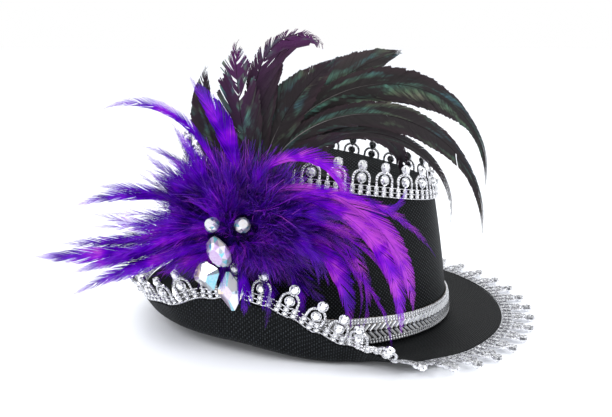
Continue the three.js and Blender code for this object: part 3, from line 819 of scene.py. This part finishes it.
def vane_tree(name, vane, quill):
    """Feathers: barbs in clumps on both sides of each shaft, and the shaft itself."""
    tree = Growth(name, (
        ("Left Barb", "Object"), ("Right Barb", "Object"), ("Barb Spacing", "Float"), ("Clump", "Float"),
        ("Ruffle", "Float"), ("Lift", "Float"), ("Raggedness", "Float"), ("Shaft Radius", "Float")))
    given = tree.given
    shafts = tree.out("GeometryNodeMeshToCurve", {"Mesh": given["Geometry"]})
    stations = tree.resampled(shafts, given["Barb Spacing"])
    turn = tree.facing(tree.out("GeometryNodeInputTangent"), tree.named("face", "FLOAT_VECTOR"))
    place = tree.out("GeometryNodeInputIndex")
    clump = tree.maths("FLOOR", tree.maths("DIVIDE", place, given["Clump"]))
    locks = tree.maths("DIVIDE", place, BARBS["lock"])
    lock = tree.maths("FLOOR", locks)
    within = tree.maths("SUBTRACT", locks, lock)
    wide = tree.named("half")
    bias = tree.named("bias")
    along = tree.named("along")
    opening = tree.times(tree.named("open"), along, along)
    ruffle = tree.plus(given["Ruffle"], tree.times(opening, 0.5))

    def spread(reach, own, key, seed):
        """Angle that the barbs of a group share, and a smaller one of each barb's own."""
        shared = tree.times(reach, tree.chance(-1.0, 1.0, seed, key))
        return tree.plus(shared, tree.times(own, reach, tree.chance(-1.0, 1.0, seed + 1, place)))

    parts = []
    for label, side, seed in (("Left Barb", -1.0, 11), ("Right Barb", 1.0, 47)):
        swing = spread(ruffle, BARBS["swing"], lock, seed)
        lift = spread(given["Lift"], BARBS["lift"], clump, seed + 2)
        pose = tree.turned(turn, tree.out("ShaderNodeCombineXYZ", {"Y": lift, "Z": swing}))
        ragged = tree.plus(tree.chance(-1.0, 0.2, seed + 4, clump), tree.chance(-0.7, 0.3, seed + 5, place))
        share = tree.times(wide, tree.scaled(bias, side, 1.0))
        size = tree.times(share, tree.scaled(ragged, given["Raggedness"], 1.0))
        slit = tree.times(opening, tree.scaled(bias, side * BARBS["slit"], 1.0))
        whole = tree.maths("GREATER_THAN", tree.chance(0.0, 1.0, seed + 6, lock), slit)
        rest = tree.maths("GREATER_THAN", within, tree.chance(0.3, 0.9, seed + 7, lock))
        kept = tree.maths("MAXIMUM", whole, rest)
        parts.append(tree.planted(stations, kept, given[label], pose, size))
    coarse = tree.resampled(shafts, tree.times(given["Barb Spacing"], BARBS["shaft_step"]))
    slender = tree.times(given["Shaft Radius"], tree.scaled(along, BARBS["thin"], 1.0))
    thick = tree.out("GeometryNodeSetCurveRadius", {"Curve": coarse, "Radius": slender})
    ring = tree.out("GeometryNodeCurvePrimitiveCircle", {"Resolution": 5, "Radius": 1.0})
    tube = tree.add("GeometryNodeCurveToMesh", {"Curve": thick, "Profile Curve": ring})
    if "Scale" in tube.inputs:
        tree.feed(tube.inputs["Scale"], slender)
    parts.append(tree.stored(tube.outputs[0], "quill", 1.0, "FACE"))
    return tree.finish(parts, vane, quill, "quill")


def fluff_tree(name, vane):
    """Down: sprigs that stand on a pad at a loose angle, shorter where they face the wearer's right."""
    tree = Growth(name, (
        ("Sprig", "Object"), ("Density", "Float"), ("Shortest", "Float"), ("Longest", "Float"),
        ("Seed", "Int")))
    given = tree.given
    spots = tree.add("GeometryNodeDistributePointsOnFaces", {
        "Mesh": given["Geometry"], "Density": given["Density"], "Seed": given["Seed"]}).outputs
    normal = tree.add("ShaderNodeSeparateXYZ", {"Vector": spots["Normal"]}).outputs
    flat = tree.out("ShaderNodeCombineXYZ", {
        "X": normal["X"], "Y": tree.times(normal["Y"], 0.3), "Z": normal["Z"]})
    lie = tree.out("FunctionNodeAlignRotationToVector", {"Vector": flat}, axis="Z")
    pose = tree.turned(lie, tree.chance((-0.7, -0.7, -3.1), (0.7, 0.7, 3.1), 3))
    cover = tree.named("cover")
    towards = tree.maths("MAXIMUM", tree.times(normal["Y"], -1.0), 0.0)
    shorter = tree.scaled(tree.maths("POWER", towards, 2.0), -0.55, 1.0)
    size = tree.times(tree.chance(given["Shortest"], given["Longest"], 5), cover, shorter)
    kept = tree.times(tree.maths("LESS_THAN", normal["Y"], 0.3), tree.maths("GREATER_THAN", cover, 0.15))
    sprigs = tree.planted(spots["Points"], kept, given["Sprig"], pose, size)
    # Each sprig gets a random tone; the darkest are painted shade deep in the down
    return tree.finish([tree.stored(sprigs, "tone", tree.chance(-0.25, 0.85, 7), "INSTANCE")], vane)


# Pieces

def ride(piece, node):
    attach(piece, "root")
    if node:
        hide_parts(node)
    return piece


def dress(mesh, finishes, node):
    """Piece that has its mesh's name, with its materials."""
    for finish in finishes:
        mesh.materials.append(finish)
    return ride(new_piece(mesh.name, mesh), node)


def make_crown(straw):
    """Hollow crown: wall, soft rim and dented top, and the same from inside, in one skin."""
    sides = CROWN["sides"]
    angles = turns(sides)
    rises = [i / CROWN["rows"] for i in range(CROWN["rows"] + 1)]

    def sag(angle, rise):
        """Slight unevenness of worn straw, with a slanting crease near the front."""
        wave = 0.35 * math.sin(3 * angle + 1.0) * math.sin(math.pi * rise)
        wave += 0.2 * math.sin(7 * angle + 4 * rise)
        middle = math.radians(lerp(CREASE["foot"], CREASE["top"], rise))
        past = (angle - middle) / math.radians(CREASE["width"])
        ends = smooth(rise / 0.3) * smooth((0.75 - rise) / 0.3)
        return wave + CREASE["depth"] * (0.5 * past - 1) * math.exp(-past * past) * ends

    def side(out):
        return [[wall_point(angle, rise, out + sag(angle, rise)) for angle in angles] for rise in rises]

    def top(thickness):
        rows = []
        for inset in DENT_INSETS:
            sink = table_at(DENT, inset, DENT_EASE)[1] + thickness
            rows.append([top_point(angle, inset, sink) for angle in angles])
        last = rows[-1]
        for share in DENT_FLOOR:
            sink = lerp(DENT_DEPTH, DENT[-1][1], share ** 2) + thickness
            spots = [(point.x * share, point.y * share) for point in last]
            rows.append([Vector((x, y, rim_height(x) - sink)) for x, y in spots])
        return rows

    def on_wall(ring, turn, point):
        return turn * CROWN["girth"], point.z * MM

    def on_top(ring, turn, point):
        return point.x * MM, point.y * MM

    centre = Vector((0, 0, rim_height(0) - DENT_DEPTH))
    roof = WALL * CROWN["top_wall"]
    outer = side(0) + top(0)
    inner = side(-WALL)[:-1] + top(roof)
    mesh = loft("straw_crown", outer, [on_wall] * (len(rises) - 1) + [on_top] * len(outer), pole=centre)
    inside = loft("inside", inner, [on_wall] * (len(rises) - 2) + [on_top] * len(inner),
                  pole=centre - Vector((0, 0, roof)))
    shape = bmesh.new()
    shape.from_mesh(mesh)
    shape.from_mesh(inside)
    shape.verts.ensure_lookup_table()
    start = len(outer) * sides + 1
    for i, j in pairs(sides):
        shape.faces.new((shape.verts[i], shape.verts[start + i], shape.verts[start + j], shape.verts[j]))
    bmesh.ops.recalc_face_normals(shape, faces=shape.faces)
    shape.to_mesh(mesh)
    shape.free()
    bpy.data.meshes.remove(inside)
    mesh.shade_smooth()
    return dress(mesh, [straw], "crown")


def make_brim(top_straw, under_straw):
    """Brim of one thickness with a rounded edge, wavy as its table says."""
    steps = BRIM_SKIN["steps"]
    angles = turns(BRIM_SKIN["sides"])
    sections = [brim_section(angle, steps) for angle in angles]

    def row(index, offset, past=0.0):
        ring = []
        for angle, section in zip(angles, sections):
            point, up, out = brim_frame(angle, section, index)
            ring.append(point + out * offset + up * past)
        return ring

    half = WALL / 2
    rings = [row(i, -half) for i in range(steps + 1)]
    for offset, past in ((-0.7, 0.5), (0, 0.72), (0.7, 0.5)):
        rings.append(row(steps, half * offset, half * past))
    rings.extend(row(i, half) for i in range(steps, -1, -1))
    run = [i / steps for i in range(steps + 1)]
    run = run + [1.01, 1.02, 1.03] + [1.04 + share for share in run]

    def weave(ring, turn, point):
        return turn * BRIM_SKIN["girth"], run[ring] * BRIM_SKIN["reach"]

    finishes = [0] * (steps + 2) + [1] * (len(rings) - steps - 2)
    mesh = outward(loft("straw_brim", rings, [weave] * len(rings), finishes, loop=True))
    return dress(mesh, [top_straw, under_straw], "brim")


def column_unit():
    """One column of the trim's base: two small set stones between three rails."""
    unit = Unit(5)
    for y in (0.4, 3.5, 6.6):
        unit.bar(0, y, -0.5, TRIM["pitch"] / TRIM["columns"], 0.55, 1.0)
    for y in (1.95, 5.05):
        unit.cup(0, y, -1.1, 0.25, 1.85, 0.3, 8)
        unit.gem(0, y, 0.1, 1.55, 1.0, 8)
        for a, b in SQUARE:
            unit.bead(1.22 * a, y + 1.22 * b, 0.35, 0.42)
    return unit.finish("column_unit")


def arch_unit():
    """One motif of the trim: a beaded arch round a set stone, with another stone on its top."""
    unit = Unit(9)
    half = ARCH["half"]

    def on_arch(share):
        return half * math.cos(math.pi * share), ARCH["spring"] + ARCH["rise"] * math.sin(math.pi * share)

    def set_stone(y, height):
        unit.cup(0, y, -1.1, 0.5, 3.45, 0.4, 12)
        unit.gem(0, y, 0.3, 3.15, height, 10)

    bow = [on_arch(i / 14) for i in range(15)]
    leg = [(half, ARCH["foot"]), (half, ARCH["knee"])]
    unit.strip(leg + bow + [(-x, y) for x, y in reversed(leg)], 1.7, -0.9, 0.1)
    spots = [on_arch(i / 10) for i in range(11)]
    spots += [(half * side, y) for side in (1, -1) for y in (7.3, 9.05)]
    for x, y in spots:
        unit.bead(x, y, ARCH["bead_at"], ARCH["bead"])
    set_stone(*MOTIF_STONES[0])
    unit.bar(0, 7.4, -0.5, 1.7, 1.8, 1.0)
    unit.bead(0, 7.6, 0.15, 0.85)
    unit.bar(0, 16.2, -0.4, 2.3, 2.2, 1.2)
    unit.bead(0, 16.0, 0.35, 0.8)
    set_stone(*MOTIF_STONES[1])
    for i in range(4):
        angle = (i + 0.5) * TAU / 4
        unit.bead(3.15 * math.cos(angle), MOTIF_STONES[1][0] + 3.15 * math.sin(angle), 0.75, 0.55)
    return unit.finish("arch_unit")


def chip_unit():
    """Tiny stone of the band's borders in its square setting."""
    unit = Unit(3)
    unit.bar(0, 0, 0.25, 1.8, 1.7, 0.5)
    unit.gem(0, 0, 0.5, 0.88, 0.6, 6, 0.5)
    return unit.finish("chip_unit")


def chevron_unit():
    """Two bar-shaped stones that slant to each other."""
    unit = Unit(7)
    for side in (1, -1):
        unit.bevelled(0, side * 2.55, 0.1, 6.9, 2.1, 1.25, side * math.radians(46), 0.6)
    return unit.finish("chevron_unit")


def set_stones(name, node, tree, units, stations):
    """Sets the units on stations: place, up, out and kind, 0 for the first unit and 1 for the second."""
    places, ups, outs, kinds = zip(*stations)
    mesh = plain_mesh(name, [place * MM for place in places], up=ups, out=outs, kind=kinds)
    inputs = {"First Unit": units[0], "Second Unit": units[1], "Unit Size": MM}
    return ride(grow(name, mesh, tree, inputs), node)


def make_trim(name, node, edge, tree, units):
    """Trim round an edge: columns all along it, and one arch to each motif."""
    length, frame_at = ruler_along(edge)
    motifs = round(length / TRIM["pitch"])
    step = length / motifs
    stations = []
    for i in range(motifs):
        stations.append((*frame_at((i + 0.5) * step), 1.0))
        for j in range(TRIM["columns"]):
            stations.append((*frame_at((i + 0.5 + (j - 1) / TRIM["columns"]) * step), 0.0))
    return set_stones(name, node, tree, units, stations)


def make_band(tree, units, metal):
    """Metal backing, four rows of tiny stones and a field of slanting bars."""
    top = BAND["height"]
    proud = BAND["backing"]
    section = [(0, 0), (0, proud), (top, proud), (top, 0)]
    rings = [[band_edge(height, out)(angle)[0] for angle in turns(BAND["sides"])] for height, out in section]

    def weave(ring, turn, point):
        return turn * BAND["girth"], section[ring][0] * MM

    mesh = outward(loft("band_backing", rings, [weave] * len(rings), loop=True))
    dress(mesh, [metal], None)
    heights = [*CHIP_ROWS, *(top - height for height in reversed(CHIP_ROWS))]
    rows = [(height, CHIP_PITCH, 0.0) for height in heights]
    stations = []
    for height, pitch, kind in (*rows, (top / 2, BAR_PITCH, 1.0)):
        length, frame_at = ruler_along(band_edge(height, proud), 360)
        count = round(length / pitch)
        stations.extend((*frame_at(i * length / count), kind) for i in range(count))
    return set_stones("rhinestone_band", "hat_band", tree, units, stations)


def barb_unit(name, side, sweep, curve, width, taper, droop, points):
    """One barb of unit reach, swept towards the tip of its feather."""
    start = sweep - curve
    spots = []
    across = []
    for i in range(points):
        t = i / (points - 1)
        y = start * t + curve * t * t
        way = Vector((1, start + 2 * curve * t)).normalized()
        half = width / 2 * (1 - t ** 2 * taper)
        for end in (-1, 1):
            spots.append(Vector((side * (t - end * way.y * half), y + end * way.x * half, -droop * t * t)))
            across.append(side * t)
    faces = [(2 * i, 2 * i + 2, 2 * i + 3, 2 * i + 1)[::side] for i in range(points - 1)]
    mesh = plain_mesh(name, spots, faces=faces, across=across)
    mesh.shade_smooth()
    return new_piece(name, mesh)


def sprig_unit():
    """Sprig of down: fine curved hairs from one root."""
    chance = random.Random(21)
    steps = SPRIG["points"] - 1
    spots = []
    faces = []
    alongs = []
    keys = []
    for number in range(SPRIG["hairs"]):
        turn = chance.uniform(0, TAU)
        lean = chance.uniform(0.0, 0.5)
        bend = chance.uniform(-0.3, 1.2)
        size = chance.uniform(0.6, 1.0)
        side = Vector((-math.sin(turn), math.cos(turn), 0))
        place = Vector((0, 0, 0))
        base = len(spots)
        for i in range(SPRIG["points"]):
            t = i / steps
            half = SPRIG["half"] * (1 - SPRIG["taper"] * t)
            spots.extend((place - side * half, place + side * half))
            alongs.extend((t, t))
            keys.extend((number * 0.37, number * 0.37))
            tilt = lean + bend * t
            way = Vector((math.cos(turn) * math.sin(tilt), math.sin(turn) * math.sin(tilt), math.cos(tilt)))
            place = place + way * size / steps
        for first in range(base, base + 2 * steps, 2):
            faces.append((first, first + 1, first + 3, first + 2))
    mesh = plain_mesh("sprig_unit", spots, faces=faces, along=alongs, key=keys)
    mesh.shade_smooth()
    return new_piece("sprig_unit", mesh)


def vane_half(row, along, sweep):
    """Reach of the barb that starts at this share of the shaft and ends sweep times its reach further on."""
    half = 0.0
    for _ in range(8):
        ends = min(1.0, along + sweep * half / row["length"])
        full = row["width"] / 2 * table_at(VANE, ends ** row.get("late", 1))[1]
        full *= 1 - row.get("tail", 0) * smooth((ends - 0.5) / 0.3)
        half = (half + full) / 2
    return half


def feather_mesh(name, feathers, sweep):
    """Shafts of all feathers as chains of points. feathers: (root, row, face)."""
    places = []
    edges = []
    values = []
    for number, (root, row, face) in enumerate(feathers):
        for i, place in enumerate(feather_line(root, row)):
            along = i / PATH_STEPS
            if i:
                edges.append((len(places) - 1, len(places)))
            places.append(place * MM)
            values.append((face, vane_half(row, along, sweep) * MM, row["tone"], along, row["open"],
                           number * KEY_STEP + along, row.get("bias", 0.0)))
    columns = zip(("face", "half", "tone", "along", "open", "key", "bias"), zip(*values))
    return plain_mesh(name, places, edges, **dict(columns))


def fill_feathers():
    chance = random.Random(4)
    feathers = []
    for group in FILL:
        ranges = dict(zip(FILL_COLUMNS, group))
        count = ranges.pop("count")
        ranges.update(FILL_START)
        for _ in range(count):
            row = {key: chance.uniform(*span) for key, span in ranges.items()}
            row["open"] = FILL_OPEN
            face = Vector((chance.uniform(-0.5, 0.5), -1, chance.uniform(-0.5, 0.5))).normalized()
            feathers.append((PURPLE_ROOT, row, face))
    return feathers


def make_feathers(name, node, tree, feathers, sweep, inputs):
    return ride(grow(name, feather_mesh(name, feathers, sweep), tree, inputs), node)


def pad_mesh(name, form, grow_by=0.0):
    """Rounded pad of a feather's root."""
    shape = bmesh.new()
    bmesh.ops.create_icosphere(shape, subdivisions=4, radius=1)
    for vert in shape.verts:
        spans = zip("xyz", ("length", "depth", "height"), vert.co)
        vert.co = Vector([form[axis] + (form[span] + grow_by) * part for axis, span, part in spans]) * MM
    mesh = mesh_of(shape, name)
    mesh.shade_smooth()
    return mesh


def down_mesh(name):
    """Pad of the plume with the cover that its down gives at each point."""
    mesh = pad_mesh(name, PAD)
    cover = []
    for vert in mesh.vertices:
        x, y, z = vert.co / MM
        near = min(math.hypot(x - at_x, z - at_z) - radius for at_x, at_z, radius in BARE)
        rise = smooth((z - PAD["z"] + PAD["height"]) / DOWN["over"])
        full = lerp(DOWN["low"], 1.0, max(rise, smooth((DOWN["left"] - x) / DOWN["left_over"])))
        cover.append(smooth(near / DOWN["bare_over"]) * full if y < PAD["y"] else full)
    mesh.attributes.new("cover", "FLOAT", "POINT").data.foreach_set("value", cover)
    return mesh


def cut_crystal(name, outline, sizes, place, painted_reflections):
    """Cut stone on a flat back: girdle, facets and a table. The last argument gives the values that its
    facets take in turn, which its glass paints as reflections.
    """
    point, up, out = place
    along = up.cross(out).normalized()
    shape = bmesh.new()
    facet = shape.faces.layers.float.new("facet")
    middle = [((a[0] + b[0]) / 2, (a[1] + b[1]) / 2) for a, b in zip(outline, outline[1:] + outline[:1])]

    def ring(spots, scale, z):
        corners = [point + along * (x * scale) + up * (y * scale) + out * z for x, y in spots]
        return [shape.verts.new(corner * MM) for corner in corners]

    table = sizes["table"]
    back = ring(outline, 0.94, 0)
    girdle = ring(outline, 1, sizes["girdle"])
    flat = ring(outline, table, sizes["height"])
    if sizes["star"]:
        star = ring(middle, lerp(table, 1, 0.62), lerp(sizes["girdle"], sizes["height"], 0.55))
    for i, j in pairs(len(outline)):
        rows = [(back[i], back[j], girdle[j], girdle[i])]
        if sizes["star"]:
            rows.extend(star_facets(girdle, star, flat, i, j))
        else:
            rows.append((girdle[i], girdle[j], flat[j], flat[i]))
        for number, verts in enumerate(rows):
            shape.faces.new(verts)[facet] = painted_reflections[(i + number * 3) % len(painted_reflections)]
    shape.faces.new(flat)[facet] = painted_reflections[0]
    shape.faces.new(back[::-1])[facet] = painted_reflections[1]
    bmesh.ops.recalc_face_normals(shape, faces=shape.faces)
    return mesh_of(shape, name)


def pad_place(x, z, seat):
    """Place, up and out of a stone on the front of the plume's pad."""
    across = (x - PAD["x"]) / PAD["length"]
    rise = (z - PAD["z"]) / PAD["height"]
    y = PAD["y"] - PAD["depth"] * math.sqrt(1 - across ** 2 - rise ** 2)
    deep = (y - PAD["y"]) / PAD["depth"] ** 2
    out = Vector((across / PAD["length"], deep, rise / PAD["height"])).normalized()
    up = Vector((0, 0, 1)) - out * out.z
    return Vector((x, y, z)) + out * seat, up.normalized(), out


def trim_place(at, up_by, seat):
    """Place, up and out of a stone on the trim of the brim."""
    point, up, out = squared(brim_edge, math.radians(at))
    return point + up * up_by + out * (TRIM["top"] + seat), up, out


def drop_outline(sizes):
    """Outline of a round stone, or of one that tapers to its top."""
    spots = []
    for angle in turns(sizes["sides"]):
        taper = 1 - sizes["taper"] * max(0.0, math.sin(angle)) ** 2
        spots.append((math.cos(angle) * sizes["width"] * taper / 2, math.sin(angle) * sizes["length"] / 2))
    return spots


def rhomb_outline(width, length, turn):
    corners = [Vector(spot) for spot in ((width / 2, 0), (0, length / 2), (-width / 2, 0), (0, -length / 2))]
    corners = [Matrix.Rotation(math.radians(turn), 2) @ corner for corner in corners]
    spots = []
    for i, corner in enumerate(corners):
        for other in (corners[i - 1], corners[(i + 1) % 4]):
            spots.append(tuple(corner.lerp(other, RHOMB["corner"])))
    return spots


def make_crystals(glass):
    # Each stone's last entry: the painted reflections of its facets, in turn
    stones = [
        ("round_stone_left", drop_outline(ROUND_STONE), ROUND_STONE, pad_place(-59.5, 91, 0.3),
         (0.72, 0.3, 0.95, 0.1, 0.6, 0.98, 0.4)),
        ("round_stone_right", drop_outline(ROUND_STONE), ROUND_STONE, pad_place(-41.5, 91.5, -0.5),
         (0.96, 0.4, 0.72, 0.1, 0.95, 0.62, 0.3)),
        ("drop_crystal", drop_outline(DROP), DROP, pad_place(-56, 75.2, 0.3),
         (0.55, 0.7, 0.35, 0.5, 0.95, 0.15, 0.62)),
        ("square_crystal", rhomb_outline(22, 25, 7), RHOMB, trim_place(232.8, 17.5, 0.3),
         (0.74, 0.34, 0.19, 0.3, 0.97, 0.74, 0.87, 0.52)),
        ("low_crystal", rhomb_outline(20, 29, 9), RHOMB, trim_place(239.6, 5.5, 0.3),
         (0.6, 0.2, 0.97, 0.3, 0.74, 0.18, 0.66, 0.88)),
    ]
    for node, outline, sizes, place, painted_reflections in stones:
        dress(cut_crystal("cut_" + node, outline, sizes, place, painted_reflections), [glass], node)


# Studio

def make_camera():
    data = bpy.data.cameras.new("photo_camera")
    data.sensor_width = CAMERA["sensor"]
    data.lens = CAMERA["lens"]
    camera = new_piece("photo_camera", data)
    camera.location = Vector(CAMERA["place"]) * MM
    camera.rotation_euler = (math.radians(CAMERA["pitch"]), 0, math.radians(CAMERA["yaw"]))
    bpy.context.scene.camera = camera


def make_studio():
    """White room that is darker behind the camera, seen as plain white, with three soft lights."""
    world = bpy.data.worlds.new("white_studio")
    world.use_nodes = True
    bpy.context.scene.world = world
    wires = Wires(world.node_tree)
    lit = world.node_tree.nodes["Background"]
    room = wires.add("ShaderNodeTexCoord").outputs["Generated"]
    way = wires.add("ShaderNodeSeparateXYZ", {"Vector": room}).outputs
    level = wires.scaled(way["Z"], 0.4, wires.scaled(way["Y"], 0.5, 0.5))
    shade = wires.ramp(level, [(0.12, (0.12, 0.125, 0.14)), (0.45, (0.97, 0.98, 1.0))])
    wires.feed(lit.inputs["Color"], shade)
    lit.inputs["Strength"].default_value = 1.15
    seen = wires.out("ShaderNodeBackground", {"Color": (1, 1, 1, 1), "Strength": 1.0})
    direct = wires.add("ShaderNodeLightPath").outputs["Is Camera Ray"]
    choice = wires.out("ShaderNodeMixShader", {0: direct, 1: lit.outputs[0], 2: seen})
    wires.feed(world.node_tree.nodes["World Output"].inputs[0], choice)
    for name, place, size, energy in (
        ("key_light", (-0.7, -0.9, 1.3), 0.7, 9.0),
        ("top_light", (0.1, 0.1, 1.5), 1.2, 7.0),
        ("side_light", (1.1, -0.5, 0.8), 0.6, 4.0),
    ):
        data = bpy.data.lights.new(name, "AREA")
        data.size = size
        data.energy = energy
        light = new_piece(name, data)
        light.location = place
        light.rotation_euler = (Vector((0, 0, 0.08)) - Vector(place)).to_track_quat("-Z", "Y").to_euler()


def make_floor():
    shape = bmesh.new()
    bmesh.ops.create_grid(shape, x_segments=8, y_segments=8, size=6)
    bmesh.ops.translate(shape, vec=(0, 0, -0.0003), verts=shape.verts)
    mesh = mesh_of(shape, "studio_floor")
    material, wires = new_finish(
        "floor_paper", roughness=0.85, specular_ior_level=0.1,
        emission_color=(1, 1, 1, 1), emission_strength=0.04)
    wires.paint(base_color=wires.mix(wires.noise(3.0), (0.91, 0.93, 0.975, 1), (0.93, 0.945, 0.98, 1)))
    mesh.materials.append(material)
    new_piece("studio_floor", mesh)


make_camera()
make_studio()
make_floor()
bpy.context.scene.view_settings.view_transform = "Standard"

crown_straw = make_straw("crown_straw", strand=1.45, row=1.25, cross=0.05, ridge=0.05, tops_highlight=0.06)
brim_straw = make_straw("brim_straw", strand=1.7, row=1.5, cross=0.1, ridge=0.65, tops_highlight=0.008)
under_straw = make_straw("under_straw", strand=1.8, row=1.5, cross=0.55, ridge=0.2, tops_highlight=0.055)
silver = make_silver("trim_silver", dark=(0.5, 0.5, 0.52), bright=(0.86, 0.86, 0.88))
band_metal = make_silver("band_metal", dark=(0.05, 0.046, 0.042), bright=(0.22, 0.2, 0.18))
# Painted reflections of cut glass, from dark to white by facet value
rhinestone = make_cut_glass("rhinestone_glass", [
    (0.0, (0.04, 0.04, 0.05)), (0.2, (0.3, 0.31, 0.34)), (0.4, (0.85, 0.87, 0.9)), (0.7, (1, 1, 1))])
# Painted reflections of the big crystals: greys, cyan, lilac and peach by facet value
rainbow = make_cut_glass("rainbow_crystal", [
    (0.0, (0.1, 0.11, 0.15)), (0.14, (0.16, 0.62, 0.74)), (0.28, (0.62, 0.78, 0.84)),
    (0.4, (0.26, 0.27, 0.31)), (0.52, (0.55, 0.36, 0.66)), (0.62, (0.74, 0.66, 0.8)),
    (0.74, (0.8, 0.81, 0.83)), (0.88, (0.93, 0.7, 0.5)), (0.97, (0.92, 0.92, 0.94))])
purple = make_purple("purple_barbs")
black = make_black("black_barbs")
purple_quill = make_quill("purple_quill", root=(0.02, 0.0005, 0.12, 1), tip=(0.1, 0.003, 0.3, 1))
black_quill = make_quill("black_quill", root=(0.26, 0.24, 0.23, 1), tip=(0.012, 0.008, 0.01, 1))

make_crown(crown_straw)
make_brim(brim_straw, under_straw)

settings = settings_tree("set_stones", silver, rhinestone)
trim_units = (column_unit(), arch_unit())
band_units = (chip_unit(), chevron_unit())
make_trim("stone_crown_trim", "crown_trim", crown_edge, settings, trim_units)
make_trim("stone_brim_trim", "brim_trim", brim_edge, settings, trim_units)
make_band(settings, band_units, band_metal)

front = Vector((0, -1, 0))
soft_left = barb_unit("soft_left", -1, **SOFT)
soft_right = barb_unit("soft_right", 1, **SOFT)
glossy_left = barb_unit("glossy_left", -1, **GLOSSY)
glossy_right = barb_unit("glossy_right", 1, **GLOSSY)
sprig = sprig_unit()

soft_vanes = vane_tree("soft_vanes", purple, purple_quill)
glossy_vanes = vane_tree("glossy_vanes", black, black_quill)
soft_inputs = {
    "Left Barb": soft_left, "Right Barb": soft_right, "Barb Spacing": 0.32 * MM, "Clump": 9.0,
    "Ruffle": 0.02, "Lift": 0.25, "Raggedness": 0.08, "Shaft Radius": 0.2 * MM}
fill_inputs = {**soft_inputs, "Barb Spacing": 0.53 * MM, "Ruffle": 0.05, "Lift": 0.4, "Raggedness": 0.25}
glossy_inputs = {
    "Left Barb": glossy_left, "Right Barb": glossy_right, "Barb Spacing": 0.4 * MM, "Clump": 13.0,
    "Ruffle": 0.014, "Lift": 0.05, "Raggedness": 0.055, "Shaft Radius": 0.32 * MM}
stem = (STEM["x"], STEM["y"], STEM["z"])
purple_rows = [(PURPLE_ROOT, dict(zip(FEATHER_COLUMNS, row), late=PURPLE_LATE), front) for row in PURPLE]
black_rows = [(stem, dict(zip(FEATHER_COLUMNS, row)), front) for row in BLACK]
make_feathers("purple_feathers", "purple_plume",
              soft_vanes, purple_rows, SOFT["sweep"], soft_inputs)
make_feathers("purple_fill", None,
              soft_vanes, fill_feathers(), SOFT["sweep"], fill_inputs)
make_feathers("black_feathers", "black_plume",
              glossy_vanes, black_rows, GLOSSY["sweep"], glossy_inputs)
dress(pad_mesh("plume_core", PAD, -1.0), [purple], None)
down = grow("purple_down", down_mesh("purple_down"), fluff_tree("down", purple), {
    "Sprig": sprig, "Density": 420000.0, "Shortest": 0.02, "Longest": 0.044, "Seed": 8})
ride(down, None)
dress(pad_mesh("feather_binding", STEM, -0.5), [black], None)
make_crystals(rainbow)

for helper in (*trim_units, *band_units, soft_left, soft_right, glossy_left, glossy_right, sprig):
    bpy.data.objects.remove(helper)
